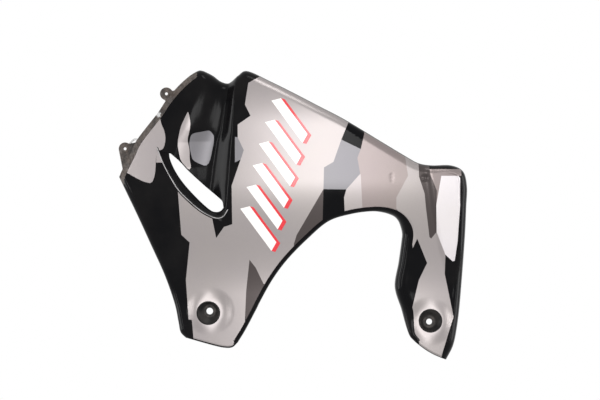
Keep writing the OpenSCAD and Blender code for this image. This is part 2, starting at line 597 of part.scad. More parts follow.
leg_taupe = [[72, 93], [83, 79], [97, 50], [110, 30], [70, -30], [64, -8], [66, 37]];
arch_taupe = [[205, 220], [203, 145], [140, 90], [152, 122], [157, 138]];
wedge = [[375, 290], [377, 242], [387, 212], [389, 190], [396, 134], [399, 131], [409, 143], [407, 193],
    [409, 217], [397, 247], [396, 256], [392, 290]];
pale_field = [[417, 244], [448, 244], [451, 240], [451, 190], [447, 126], [442, 91], [438, 90],
    [425, 102], [408, 192]];

// Plain slanted bars that climb the body, each with a red edge at its rear side and lower end
bar_n = 6;
bar_low = [90, 152];
bar_high = [146, 346];
bar_half = [28, -38];
bar_side = [6.5, 5];
bar_taper = 0.85;
bar_edge = [7, -2];
bars = [for (k = [0 : bar_n - 1]) let (c = bar_low + (bar_high - bar_low) * k / (bar_n - 1))
    [c - bar_half - bar_side, c + bar_half - bar_side, c + bar_taper * bar_half + bar_side,
        c - bar_taper * bar_half + bar_side]];
bar_edges = [for (b = bars) [b[1], b[1] + bar_edge, b[2] + bar_edge, b[3] + bar_edge, b[3], b[2]]];

// Everything is drawn from the plane of the skin round the fixing holes, then moved so that the
// origin is the middle of the front bore
seat_h = dish_depth + wall / 2;
module placed() {
    translate([0, -seat_h, 0]) children();
}

placed() panel();
placed() grommet([0, 0], front_bore_r);  // front_grommet
placed() grommet(rear_hole, rear_bore_r);  // rear_grommet
placed() film([0.71, 0.68, 0.67], [body_silver, arch_silver, rear_silver, nose_silver, streak]);  // silver_film
placed() film([0.55, 0.54, 0.56], [scoop_grey, bank_grey, main_grey]);  // grey_film
placed() film([0.59, 0.54, 0.53], [light_taupe, corner_taupe]);  // light_taupe_film
placed() film([0.35, 0.31, 0.30], [leg_taupe, arch_taupe, wedge]);  // dark_taupe_film
placed() film([0.88, 0.86, 0.86], [pale_field]);  // pale_film
placed() film([0.95, 0.94, 0.92], bars, 1);  // white_film
placed() film([0.8, 0.08, 0.1], bar_edges, 1);  // red_film
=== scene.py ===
"""Looks of a motorcycle side cowl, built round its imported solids.

The moulded shell and its decal film are meshed from the same splines and falls as the solids, only
finer, so that the gloss runs smoothly over them. Lengths inside the mesh code are millimetres, on
the plane of the two fixing holes, and become metres when a piece is made.
"""

import functools
import math

import bpy
import numpy as np
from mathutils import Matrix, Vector, geometry, kdtree


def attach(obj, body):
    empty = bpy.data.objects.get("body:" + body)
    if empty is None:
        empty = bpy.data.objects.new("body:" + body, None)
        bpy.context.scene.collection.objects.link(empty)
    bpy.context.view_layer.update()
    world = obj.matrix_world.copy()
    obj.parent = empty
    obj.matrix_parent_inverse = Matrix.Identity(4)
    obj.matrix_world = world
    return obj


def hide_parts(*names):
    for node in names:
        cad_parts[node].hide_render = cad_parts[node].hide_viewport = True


bl_info = {
    "name": "Motorcycle side cowl",
    "version": (1, 0, 0),
    "blender": (4, 5, 0),
    "location": "3D View > Sidebar > Cowl",
    "description": "Builds the gloss shell, decal film, grommets and studio of a side cowl",
    "category": "Object",
}

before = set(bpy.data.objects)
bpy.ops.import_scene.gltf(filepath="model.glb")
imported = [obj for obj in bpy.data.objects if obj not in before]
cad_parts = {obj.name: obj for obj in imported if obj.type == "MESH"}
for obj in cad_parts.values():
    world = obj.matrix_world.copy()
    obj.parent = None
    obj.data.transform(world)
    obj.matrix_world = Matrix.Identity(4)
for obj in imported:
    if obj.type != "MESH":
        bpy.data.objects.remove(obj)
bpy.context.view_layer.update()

# Places on the cowl, as x and z in millimetres
FRONT_HOLE = (0, 0)
REAR_HOLE = (396, -19)
TAB_UPPER = (-78, 392)
TAB_LOWER = (-153, 293)
CROWN = (200, 240)
FRONT_POINT = (-164, 242)
SINK = (328, 241)
DIMPLE = (388, 240)
FRONT_LEAN = (-2.4, -3.4)
REAR_LEAN = (2.2, 1.6)

FLANGE_EDGE = [(-164, 242), (-155, 262), (-143, 286), (-130, 311), (-94, 357), (-80, 378), (-61, 401),
               (-40, 421), (-22, 433), (-14, 434), (-4, 430), (7, 424), (19, 415), (31, 411), (39, 414),
               (50, 424)]
OUTER_EDGE = [(50, 424), (68, 433), (110, 414), (152, 393), (198, 369), (244, 345), (307, 307),
              (352, 280), (376, 267), (400, 263), (435, 263), (457, 252), (464, 225), (463, 190),
              (461, 139), (457, 76), (452, 13), (447, -28), (440, -62), (427, -88)]
INNER_EDGE = [(84, 3), (94, 23), (114, 58), (140, 93), (176, 130), (214, 162), (254, 175), (290, 180),
              (312, 178), (330, 172), (339, 164), (344, 153), (347, 140), (346, 127), (341, 89),
              (334, 44), (346, 3), (354, -26), (361, -45), (370, -55)]
FRONT_LEG_EDGE = [(84, 3), (65, -33), (51, -56)]
FRONT_FOOT = [(-44, -48), (-26, -53), (7, -62), (27, -66), (41, -65), (51, -56)]
FRONT_EDGE = [(-164, 242), (-132, 175), (-105, 116), (-82, 65), (-64, 14), (-57, -19), (-53, -38),
              (-44, -48)]
SLOT_UPPER = [(-70, 284), (-54, 270), (-37, 252), (-10, 227), (15, 206), (23, 198), (25, 188)]
SLOT_LOWER = [(-73, 286), (-71, 273), (-61, 251), (-45, 228), (-22, 203), (-1, 184), (10, 179),
              (20, 181), (28, 191)]
LIP_CREST = [(-94, 296), (-83, 268), (-70, 243), (-54, 218), (-33, 197), (-16, 183), (-1, 174),
             (13, 169), (24, 172), (32, 184)]

# Scoop: x of its ridge and of its crease, width of its far bank, and its depth, each by z
RIDGE_X = [(0, 84), (45, 64), (90, 48), (140, 36), (178, 33), (205, 36), (240, 40), (307, 44),
           (341, 44), (382, 46), (434, 51)]
CREASE_X = [(187, -3), (224, -3), (257, 1), (305, 9), (326, 17), (407, 32), (434, 33)]
BANK_W = [(200, 70), (260, 84), (330, 66), (434, 46)]
FOLD_X = [(60, 424), (102, 418), (190, 402), (262, 392)]

# Stretches of x or z over which a form rises from nothing to its full size
REAR_X, REAR_Z = (400, 450), (290, 230)
FLANGE_X = (-16, -38)
FLANK_X, FLANK_LOW_Z, FLANK_TOP_Z = (285, 325), (-62, 8), (205, 145)
LEG_Z = (240, 30)
FOLD_LOW_Z, FOLD_TOP_Z = (60, 120), (275, 245)
BORDER_Z = (10, 70)

# Where forms end, and the widths of the small ones
FLANGE_LOW_Z = 200
FOOT_TOP_Z = 60
PEAK_LOW_Z, PEAK_RISE = 330, 104
FOLD_W = 14
DIMPLE_R = 9
BORDER_FADE = 4
FLANGE_STEP_W = 1.6
SINK_HALF, SINK_DEPTH, SINK_FADE = (3, 7), 0.35, 1.6
PAD_GAP, PAD_FADE = 1, 24
SCOOP_END, SCOOP_END_SIDE, SCOOP_FADE = (-0.739, -0.674), 10, 16
# How far to each side of a point the slope of the face is measured
SLOPE_STEP = 0.25

# Fields of the camouflage film, as x and z in millimetres
BODY_SILVER = [(100, 428), (70, 411), (64, 372), (74, 352), (51, 336), (51, 313), (62, 290), (40, 226),
               (41, 157), (26, 152), (12, 132), "under the lip", (-51, 138), (-36, 124), (-43, 56),
               (-38, -15), (-32, -16), (-27, -80), (62, -80), (64, -8), (66, 37), (72, 93), (83, 79),
               (97, 50), (125, 30), (152, 100), (152, 122), (157, 138), (205, 220), (206, 259),
               (223, 269), (237, 309), (249, 338), (262, 352)]
ARCH_SILVER = [(242, 205), (246, 219.5), (271, 247.5), (272, 246), (275, 184), (275, 160), (244, 160)]
REAR_SILVER = [(352, 295), (352, 276), (357, 244), (336, 205), (336, 184), (352, 167), (362, 149),
               (366, 114), (374, 131), (392, 87), (377, 56), (365, 5), (363, -60), (414, -100),
               (420, -75), (440, -10), (424, 67), (425, 102), (409, 143), (399, 131), (396, 134),
               (389, 190), (387, 212), (377, 242), (375, 290)]
NOSE_SILVER = [(-92, 362), (-87, 337), (-81, 325), (-79, 309), (-83, 292), (-96, 288), (-98, 247),
               (-104, 230), (-121, 234), (-143, 246), (-170, 262), (-120, 340)]
STREAK = [(-38, 362), (-34, 338), (-36, 325), (-40, 309), (-36, 292), (-36, 273), (-33, 260),
          (-37, 254), (-52, 271), (-55, 285), (-58, 303), (-52, 332), (-45, 347)]
TIP_SILVER = [(-95, 292), (-90, 284), (-84.5, 268), (-96.5, 268)]
# Silver film in the scoop's hollow, laid in the darker grey tone as painted shade.
SCOOP_SILVER_IN_PAINTED_SHADE = [(-33, 320), (-11, 324), (-1, 326), (4, 322), (8, 316), (8, 305), (-2, 259), (-30, 271),
              (-34, 285), (-37, 302)]
BANK_GREY = [(46, 314), (51, 313), (62, 290), (56, 273), (46, 268)]
MAIN_GREY = [(237, 309), (272, 292), (266, 276), (271, 247.5), (246, 219.5), (205, 220), (206, 259),
             (223, 269)]
LIGHT_TAUPE = [(278, 335), (278, 318), (272, 292), (266, 276), (271, 247.5), (272, 246), (275, 184),
               (275, 160), (336, 160), (336, 205), (357, 244), (352, 276), (352, 295)]
# Light taupe film in the rear corner; its top strip under the raised border is also a painted shadow of
# that border.
CORNER_TAUPE_AND_SHADOW = [(397, 247), (396, 256), (453, 256), (453, 244), (417, 244), (408, 192), (409, 217)]
LEG_TAUPE = [(72, 93), (83, 79), (97, 50), (110, 30), (70, -30), (64, -8), (66, 37)]
ARCH_TAUPE = [(205, 220), (203, 145), (152, 100), (152, 122), (157, 138)]
WEDGE = [(375, 290), (377, 242), (387, 212), (389, 190), (396, 134), (399, 131), (409, 143),
         (407, 193), (409, 217), (397, 247), (396, 256), (392, 290)]
PALE_FIELD = [(417, 244), (448, 244), (451, 240), (451, 190), (447, 126), (442, 91), (438, 90),
              (425, 102), (409, 143), (408, 192)]


# Curves and outlines


def ease(t):
    c = np.clip(t, 0, 1)
    return c * c * (3 - 2 * c)


def rise(v, start, end):
    """0 up to start and 1 from end on, with a smooth step between them. end may be the lower."""
    return ease((v - start) / (end - start))


def by_height(z, table):
    return np.interp(z, *np.array(table, float).T)


def spline(points, steps=10):
    """A smooth curve through the points."""
    p = np.array(points, float)
    p = np.vstack([2 * p[0] - p[1], p, 2 * p[-1] - p[-2]])
    f = np.arange(steps)[:, None] / steps
    out = []
    for a, b, c, d in zip(p[:-3], p[1:-2], p[2:-1], p[3:]):
        out.append(0.5 * (2 * b + (c - a) * f + (2 * a - 5 * b + 4 * c - d) * f**2
                          + (3 * (b - c) + d - a) * f**3))
    return np.vstack(out + [p[-2:-1]])


def along(curve, share):
    """Points at shares of a curve's length."""
    run = np.concatenate([[0], np.cumsum(np.linalg.norm(np.diff(curve, axis=0), axis=1))])
    at = np.asarray(share) * run[-1]
    return np.column_stack([np.interp(at, run, curve[:, 0]), np.interp(at, run, curve[:, 1])])


def spaced(loop, step):
    """A closed outline with every side cut into pieces no longer than step."""
    p = np.array(loop, float)
    out = []
    for a, b in zip(p, np.roll(p, -1, axis=0)):
        n = max(1, math.ceil(np.linalg.norm(b - a) / step))
        out.append(a + (b - a) * (np.arange(n) / n)[:, None])
    return np.vstack(out)


def softened(loop):
    """A closed outline with its corners cut twice."""
    p = np.array(loop, float)
    for _ in range(2):
        n = np.roll(p, -1, axis=0)
        p = np.stack([0.8 * p + 0.2 * n, 0.2 * p + 0.8 * n], axis=1).reshape(-1, 2)
    return p


def inside(q, loop):
    """Whether each point lies inside a closed outline."""
    x, z = q[:, 0], q[:, 1]
    hit = np.zeros(len(q), bool)
    for a, b in zip(loop, np.roll(loop, -1, axis=0)):
        if a[1] != b[1]:
            hit ^= ((a[1] > z) != (b[1] > z)) & (x < (b[0] - a[0]) * (z - a[1]) / (b[1] - a[1]) + a[0])
    return hit


def outside(q, loops):
    """Whether each point lies outside all of the closed outlines."""
    return ~np.any([inside(q, loop) for loop in loops], axis=0)


def round_line(loop):
    """A closed outline as a line that ends where it starts."""
    return np.vstack([loop, loop[:1]])


def distance(q, line):
    """Distance from each point to an open line."""
    out = np.empty(len(q))
    a, d = line[:-1], np.diff(line, axis=0)
    keep = (d**2).sum(1) > 1e-9
    a, d = a[keep], d[keep]
    dd = (d**2).sum(1)
    for k in range(0, len(q), 4000):
        r = q[k:k + 4000, None, :] - a[None]
        t = np.clip((r * d).sum(2) / dd, 0, 1)
        out[k:k + 4000] = np.sqrt(((r - t[..., None] * d) ** 2).sum(2).min(1))
    return out


def foot_curve(bow):
    """The bowed end of the rear leg, from its outer to its inner corner."""
    a, b = np.array(OUTER_EDGE[-1], float), np.array(INNER_EDGE[-1], float)
    d = np.abs((b - a) / np.linalg.norm(b - a))
    v = np.linspace(0, 1, 25)[:, None]
    return a * (1 - v) + b * v - np.array([d[1], d[0]]) * bow * np.sin(math.pi * v)


def circle(centre, radius, n):
    a = np.arange(n) * 2 * math.pi / n
    return np.array(centre, float) + radius * np.column_stack([np.cos(a), np.sin(a)])


def lay(q, y):
    """Points of the plane, moved to one depth or to a depth each."""
    return np.column_stack([q[:, 0], np.full(len(q), y), q[:, 1]])


class Skin:
    """The cowl's outer face: how far it stands out over the plane of the two fixing holes."""

    def __init__(self, sizes):
        self.__dict__.update({k: getattr(sizes, k) * 1000 for k in type(sizes).__annotations__})
        self.flange = spline(FLANGE_EDGE)
        self.outer = spline(OUTER_EDGE)
        self.rear_foot = foot_curve(self.foot_bow)
        self.inner = spline(INNER_EDGE)
        self.leg = spline(FRONT_LEG_EDGE)
        self.foot = spline(FRONT_FOOT)
        self.front = spline(FRONT_EDGE)
        self.top_line = np.vstack([self.flange, self.outer])
        self.arch_line = np.vstack([self.leg[::-1], self.inner])
        self.lip = spline(LIP_CREST, 16)
        self.slot_low = spline(SLOT_LOWER, 16)
        self.slot_up = spline(SLOT_UPPER)
        self.outline = np.vstack([self.flange[:-1], self.outer[:-1], self.rear_foot[:-1],
                                  self.inner[::-1][:-1], self.leg[:-1], self.foot[::-1][:-1],
                                  self.front[::-1][:-1]])

    @functools.cached_property
    def rolled_rows(self):
        return offset_rows(self)

    @functools.cached_property
    def film_ends(self):
        return end_lines(self)

    def rear_share(self, q):
        return rise(q[:, 0], *REAR_X) * rise(q[:, 1], *REAR_Z)

    def flange_share(self, q):
        return np.where(q[:, 1] < FLANGE_LOW_Z, 0, rise(q[:, 0], *FLANGE_X))

    def top_w(self, q):
        return self.top_roll_w + (self.rear_roll_w - self.top_roll_w) * self.rear_share(q)

    def flank_share(self, q):
        x, z = q.T
        return rise(z, *FLANK_LOW_Z) * rise(z, *FLANK_TOP_Z) * rise(x, *FLANK_X)

    def arch_w(self, q):
        return self.arch_roll_w + self.flank_w * self.flank_share(q)

    def scoop(self, q):
        """Depth of the air scoop, which ends at the lip of the vent."""
        x, z = q.T
        ridge, crease = by_height(z, RIDGE_X), by_height(z, CREASE_X)
        vent, top = self.scoop_vent_depth, self.scoop_top_depth
        depth = by_height(z, [(150, 0), (178, vent - 4), (200, vent), (260, vent - 3), (330, top + 2),
                              (434, top)])
        across = np.where(x > crease, ease((ridge - x) / (ridge - crease)),
                          1 - ease((crease - x) / by_height(z, BANK_W)))
        side = (q - np.array(SLOT_UPPER[0])) @ np.array(SCOOP_END) - SCOOP_END_SIDE
        return depth * across * ease((SCOOP_FADE / 2 - side) / SCOOP_FADE)

    def body(self, q):
        """The crowned body, which falls back along the cowl, down both legs and up to the peak."""
        x, z = q.T
        stand = self.crown_h - self.leg_fall
        rear = stand / (REAR_HOLE[0] - CROWN[0]) ** 2
        front = stand / CROWN[0] ** 2
        reach = -FRONT_POINT[0]
        fall = np.where(x > CROWN[0], rear * (x - CROWN[0]) ** 2, np.where(
            x > 0, front * (CROWN[0] - x) ** 2,
            stand - 2 * front * CROWN[0] * x
            + (self.front_fall - stand - 2 * front * CROWN[0] * reach) * (x / reach) ** 2))
        return (self.crown_h - fall - self.leg_fall * rise(z, *LEG_Z)
                - self.top_fall * (np.maximum(0, z - PEAK_LOW_Z) / PEAK_RISE) ** 2)

    def fold(self, q):
        """The soft fold down the rear leg, with a dimple at its top."""
        x, z = q.T
        step = self.fold_h * ease((x - by_height(z, FOLD_X)) / FOLD_W + 0.5) * rise(z, *FOLD_LOW_Z)
        dent = self.dimple_h * ease(1 - np.linalg.norm(q - np.array(DIMPLE), axis=1) / DIMPLE_R)
        return step * rise(z, *FOLD_TOP_Z) - dent

    def pad(self, q, hole, h):
        """The height h, levelled off to the plane round one dish."""
        away = np.linalg.norm(q - np.array(hole), axis=1) - self.dish_r
        return h * ease((away - PAD_GAP) / PAD_FADE)

    def padded(self, q, h):
        return self.pad(q, FRONT_HOLE, self.pad(q, REAR_HOLE, h))

    def height(self, q):
        d = distance(q, self.top_line)
        fs = self.flange_share(q)
        top = (fs * self.flange_step * (1 - ease((d - self.flange_w) / FLANGE_STEP_W))
               + (1 - fs) * self.roll(d, self.top_w(q), self.top_roll_h))
        arch = self.roll(distance(q, self.arch_line), self.arch_w(q),
                         self.arch_roll_h + self.flank_h * self.flank_share(q))
        end = 2 * self.end_roll_w
        front = np.where(q[:, 0] > 0, 0, self.roll(distance(q, self.front), end, end))
        near_foot = np.minimum(distance(q, self.foot), distance(q, self.rear_foot))
        foot = self.roll(near_foot, self.end_roll_w, self.end_roll_w)
        foot = np.where(q[:, 1] > FOOT_TOP_Z, 0, foot)
        border = (self.border_h * self.rear_share(q) * (1 - ease((d - self.rear_roll_w) / BORDER_FADE))
                  * rise(q[:, 1], *BORDER_Z))
        skin = self.padded(q, self.body(q) + self.fold(q) - self.scoop(q))
        off_sink = np.hypot(*((q - np.array(SINK)) / np.array(SINK_HALF)).T)
        mark = SINK_DEPTH * ease(SINK_FADE - off_sink)
        return skin + border - mark - np.sqrt(top**2 + arch**2 + front**2 + foot**2)

    @staticmethod
    def roll(d, w, h):
        """A quarter ellipse down to the edge."""
        return np.where(d >= w, 0, h * (1 - np.sqrt(np.maximum(0, 1 - ((w - d) / w) ** 2))))

    def normal(self, q):
        """Outward normals of the face, as x, y and z with the outer side towards -y."""
        e = SLOPE_STEP
        dx, dz = np.array([e, 0]), np.array([0, e])
        gx = (self.height(q + dx) - self.height(q - dx)) / (2 * e)
        gz = (self.height(q + dz) - self.height(q - dz)) / (2 * e)
        n = np.column_stack([-gx, -np.ones(len(q)), -gz])
        return n / np.linalg.norm(n, axis=1)[:, None]

    def at(self, q, out=0.0):
        """Points on the face, or that far above it."""
        return lay(q, -(self.height(q) + out))

    def tab_face(self, q):
        """Depth of the outer side of a screw ear."""
        q = np.array([q], float)
        return self.flange_step - self.padded(q, self.body(q) - self.scoop(q))[0]


def inward(loop):
    """Unit normals of a closed outline that point into it."""
    d = np.roll(loop, -1, axis=0) - np.roll(loop, 1, axis=0)
    n = np.column_stack([d[:, 1], -d[:, 0]]) / np.linalg.norm(d, axis=1)[:, None]
    area = np.sum(loop[:, 0] * np.roll(loop[:, 1], -1) - np.roll(loop[:, 0], -1) * loop[:, 1])
    return n if area < 0 else -n


# Meshes

# Materials of the shell, by their place in its list; the fifth paints a highlight along the lip's crest
GLOSS, MATT, DUSTY, BARE, PAINTED_HIGHLIGHT, SHADED = range(6)
SHARP_ANGLE = 38
# Spacing of the points on the shell's face and on the film
FACE_STEP, FILM_STEP = 3.0, 3.2
# Least distance of those points from the rolled edge, from a hole's edge and from a field's outline,
# and of the rows of the rolled edges from a hole's edge
ROLL_GAP, HOLE_GAP, FIELD_GAP, ROW_GAP = 1.2, 1.3, 0.8, 0.8
# How near a point must be to count as one of the outline's
ON_OUTLINE = 0.05
DISHES = ((FRONT_HOLE, FRONT_LEAN), (REAR_HOLE, REAR_LEAN))


class Part:
    """Vertices, faces, their finish and corner normals, gathered for one piece."""

    def __init__(self):
        self.points, self.faces, self.finish, self.corners, self.count = [], [], [], [], 0

    def add(self, points, faces=(), finish=0, normals=None):
        """Adds points and faces. normals has one per point, or None for the mesh's own shading."""
        base = self.count
        self.points.append(np.asarray(points, float))
        self.count += len(points)
        corners = None if normals is None else [[normals[i] for i in f] for f in faces]
        self.link([[i + base for i in f] for f in faces], finish, corners)
        return base

    def link(self, faces, finish=0, corners=None):
        """Adds faces between points that are already in, with one finish or a finish each."""
        faces = [[int(i) for i in f] for f in faces]
        self.faces += faces
        self.finish += [finish] * len(faces) if np.isscalar(finish) else finish
        self.corners += [None] * len(faces) if corners is None else list(corners)

    def make(self, name, materials, seat):
        """Turns the gathered faces into an object, in metres, in the frame of the solids."""
        points = (np.vstack(self.points) - np.array([0, seat, 0])) / 1000
        mesh = bpy.data.meshes.new(name)
        mesh.from_pydata(points.tolist(), [], self.faces)
        mesh.polygons.foreach_set("material_index", self.finish)
        mesh.polygons.foreach_set("use_smooth", [True] * len(self.faces))
        mesh.set_sharp_from_angle(angle=math.radians(SHARP_ANGLE))
        if any(c is not None for c in self.corners):
            loops = []
            for f, c in zip(self.faces, self.corners):
                loops.extend([(0, 0, 0)] * len(f) if c is None else [tuple(n) for n in c])
            mesh.normals_split_custom_set(loops)
        for m in materials:
            mesh.materials.append(m)
        mesh.update()
        obj = bpy.data.objects.new(name, mesh)
        bpy.context.scene.collection.objects.link(obj)
        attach(obj, "root")
        return obj


def triangles(loops, lines, extra, keep):
    """Triangles of the plane that follow closed loops and open lines, where keep is true."""
    points, edges = [], []
    for loop in loops:
        n, base = len(loop), len(points)
        points.extend(map(tuple, loop))
        edges.extend((base + i, base + (i + 1) % n) for i in range(n))
    for line, joined in lines:
        base = len(points)
        points.extend(map(tuple, line))
        edges.extend((base + i, base + i + 1) for i in range(len(line) - 1) if joined[i])
    points.extend(map(tuple, extra))
    made = geometry.delaunay_2d_cdt([Vector(p) for p in points], edges, [], 0, 1e-3, False)
    q = np.array([tuple(v) for v in made[0]])
    t = np.array([f for f in made[2] if len(f) == 3])
    t = t[keep(q[t].mean(1))]
    used, t = np.unique(t, return_inverse=True)
    q, t = q[used], t.reshape(-1, 3)
    a, b, c = q[t[:, 0]], q[t[:, 1]], q[t[:, 2]]
    turn = (b[:, 0] - a[:, 0]) * (c[:, 1] - a[:, 1]) - (c[:, 0] - a[:, 0]) * (b[:, 1] - a[:, 1])
    t[turn < 0] = t[turn < 0][:, ::-1]
    return q, t


def rim_loops(t):
    """Directed edges on the border of a set of triangles."""
    edges = np.vstack([t[:, [0, 1]], t[:, [1, 2]], t[:, [2, 0]]])
    seen = {(a, b) for a, b in edges.tolist()}
    return [(a, b) for a, b in edges.tolist() if (b, a) not in seen]


def ring_faces(n, m):
    """Quads between m + 1 closed rings of n points each."""
    return [(k * n + i, (k + 1) * n + i, (k + 1) * n + (i + 1) % n, k * n + (i + 1) % n)
            for k in range(m) for i in range(n)]


def grid_points(step, low, high):
    """A triangular grid of points over a box."""
    xs = np.arange(low[0], high[0], step)
    zs = np.arange(low[1], high[1], step * 0.87)
    x, z = np.meshgrid(xs, zs)
    x = x + (np.arange(len(zs)) % 2)[:, None] * step / 2
    return np.column_stack([x.ravel(), z.ravel()])


# The stretch of the crest that borders the opening, as shares of its length
VENT_STRETCH = (0.965, 0.035)


def lip_line(skin, out, share):
    """Points at shares of the lip's crest, moved outwards."""
    c = along(skin.lip, share)
    d = along(skin.lip, np.minimum(1, share + 0.01)) - along(skin.lip, np.maximum(0, share - 0.01))
    d /= np.linalg.norm(d, axis=1)[:, None]
    return c + np.column_stack([d[:, 1], -d[:, 0]]) * out


def vent_loop(skin):
    """The opening in the skin: the slot, widened to the crest of the lip."""
    return np.vstack([along(skin.slot_up, np.linspace(0, 1, 60)),
                      along(skin.lip, np.linspace(*VENT_STRETCH, 80))])


def dish_rim(skin, hole, lean, gap=0.0):
    """The edge of a dish, which leans a little off its hole, or a line that far outside it."""
    return circle(np.add(hole, lean), skin.dish_r + gap, 96)


# Pieces of the moulding


def closed(points, faces):
    """The faces of a closed form, turned so that they look outwards."""
    p = np.asarray(points, float)
    volume = sum(np.dot(p[f[0]], np.cross(p[f[i]], p[f[i + 1]]))
                 for f in faces for i in range(1, len(f) - 1))
    return faces if volume > 0 else [f[::-1] for f in faces]


def loft(part, rings, finish, wrap=False):
    """Adds a closed form through rings of points. wrap joins the last ring to the first."""
    n, m = len(rings[0]), len(rings)
    last = (m - 1) * n
    faces = ring_faces(n, m - 1)
    if wrap:
        faces += [(last + i, i, (i + 1) % n, last + (i + 1) % n) for i in range(n)]
    else:
        faces += [tuple(range(n))[::-1], tuple(range(last, m * n))]
    points = np.vstack(rings)
    part.add(points, closed(points, faces), finish)


def ring(centre, radius, y, n=96):
    return lay(circle(centre, radius, n), y)


# Rows at shares of a rolled edge's width, and at distances from the flange's and the border's edges,
# and the share of its distance that a point of a row must keep from the whole outline
ROLL_ROWS = (0.02, 0.08, 0.19, 0.36, 0.6, 0.82, 1.0)
FLANGE_ROWS = (-0.1, 0.35, 0.8, 1.25, 1.75)
BORDER_ROWS = (1, 2, 3, 4.2)
ROW_KEEP = 0.94
# Shares of a form that count as some of it, and as nearly all of it
SOME, NEARLY_ALL = 0.02, 0.98
FLANGE_FIRST_ROW = 4.2
FLANGE_REACH = 1.8


def offset_rows(skin):
    """Rows of points along the rolled edges, and how far in the edge reaches from the outline."""
    out, n = skin.outline, inward(skin.outline)
    sides = (skin.top_line, skin.arch_line, skin.front, skin.foot, skin.rear_foot)
    side = np.array([distance(out, line) for line in sides]).argmin(0)
    fs = skin.flange_share(out) * (side == 0)
    w = np.select([side == 0, side == 1, side == 2],
                  [skin.top_w(out), skin.arch_w(out), np.full(len(out), 2 * skin.end_roll_w)],
                  skin.end_roll_w)
    on_border = (side == 0) & (skin.rear_share(out) > SOME)
    rows = [(w * share, fs < NEARLY_ALL) for share in ROLL_ROWS]
    rows += [(np.full(len(out), d), fs > SOME)
             for d in (FLANGE_FIRST_ROW, *(skin.flange_w + d for d in FLANGE_ROWS))]
    rows += [(np.full(len(out), skin.rear_roll_w + d), on_border) for d in BORDER_ROWS]
    found = []
    for d, use in rows:
        q = (out + n * d[:, None])[use]
        found.append(q[distance(q, round_line(out)) > ROW_KEEP * d[use]])
    return np.vstack(found), np.where(fs > 0.5, skin.flange_w + FLANGE_REACH, w)


def face_mesh(skin):
    """Points, triangles and normals of the outer face, cut out at the vent and the dishes."""
    rows, reach = skin.rolled_rows
    out = skin.outline
    grid = grid_points(FACE_STEP, out.min(0), out.max(0))
    grid = grid[inside(grid, out)]
    tree = kdtree_of(out)
    nearest = [tree.find((*p, 0))[1:] for p in grid]
    grid = grid[np.array([d > reach[i] + ROLL_GAP for i, d in nearest])]
    holes = [dish_rim(skin, *dish) for dish in DISHES] + [vent_loop(skin)]
    for h in holes:
        grid = grid[distance(grid, round_line(h)) > HOLE_GAP]
        rows = rows[distance(rows, round_line(h)) > ROW_GAP]
    q, t = triangles([out] + holes, [], np.vstack([rows, grid]),
                     lambda c: inside(c, out) & outside(c, holes))
    normals = skin.normal(q)
    turn = inward(out)
    for k, p in enumerate(q):
        _, i, d = tree.find((*p, 0))
        if d < ON_OUTLINE:
            fs = skin.flange_share(p[None])[0]
            v = np.array([-turn[i][0], 0, -turn[i][1]]) * (1 - fs) + np.array([0, -1, 0]) * fs
            normals[k] = v / np.linalg.norm(v)
    return q, t, normals, tree


def kdtree_of(points):
    tree = kdtree.KDTree(len(points))
    for i, p in enumerate(points):
        tree.insert((*p, 0), i)
    tree.balance()
    return tree


# How far the flange's rim turns back, in walls
FLANGE_RIM = 1.3


def add_shell(part, skin):
    """The outer face, the inner face one wall behind it, and the rim turned back."""
    q, t, normals, tree = face_mesh(skin)
    face = skin.at(q)
    inner = face - skin.wall * normals
    fs = skin.flange_share(q) * (distance(q, skin.flange) < skin.flange_w + 1)
    base = part.add(face)
    part.link(t + base, np.where(fs[t].mean(1) > 0.25, DUSTY, GLOSS).tolist(), normals[t])
    inner_base = part.add(inner, t[:, ::-1], BARE, -normals)
    rim, holes = [], []
    for edge in rim_loops(t):
        on_rim = all(tree.find((*q[i], 0))[2] < ON_OUTLINE for i in edge)
        (rim if on_rim else holes).append(edge)
    names = sorted({i for edge in rim for i in edge})
    share = skin.flange_share(q[names])
    turned = skin.rim_back * (1 - share) + FLANGE_RIM * skin.wall * share
    outer_back = face[names] + np.column_stack([0 * turned, turned, 0 * turned])
    inner_back = np.column_stack([inner[names][:, 0], outer_back[:, 1], inner[names][:, 2]])
    bo, bi = part.add(outer_back), part.add(inner_back)
    back = {i: k for k, i in enumerate(names)}
    faces = {GLOSS: [], DUSTY: []}
    for a, b in rim:
        ka, kb = back[a], back[b]
        faces[DUSTY if fs[a] > 0.5 else GLOSS] += [
            (base + b, base + a, bo + ka, bo + kb), (bo + kb, bo + ka, bi + ka, bi + kb),
            (bi + kb, bi + ka, inner_base + a, inner_base + b)]
    for finish, quads in faces.items():
        part.link(quads, finish)
    part.link([(base + b, base + a, inner_base + a, inner_base + b) for a, b in holes], GLOSS)


# Sections of the lip: shares of the way from the crest to its outer edge, and down its hollow wall
BEAD_STEPS = (1.0, 0.85, 0.65, 0.4, 0.2, 0.0)
WALL_STEPS = (0.04, 0.1, 0.2, 0.35, 0.5, 0.65, 0.8, 0.92, 1.0)
# Where the bead is highest, and its height at the crest as a share of its full height
BEAD_PEAK, BEAD_AT_CREST = 0.35, 0.71
# Depth of the wall at the lip's tip, how soon it deepens, and its bow
TIP_DEPTH, DEEPEN, WALL_BOW = 1.3, 2.4, 1.9
# How far the hidden back lies behind the wall, at the crest and at the outer edge
BACK_AT_CREST, BACK_AT_EDGE = 1.6, 0.8
# The first rows of each lip section take the pale crest tone, which is a painted highlight.
HIGHLIGHT_ROWS, SHADED_ROWS = range(1, 4), range(6, 15)
LIP_SECTIONS = 90


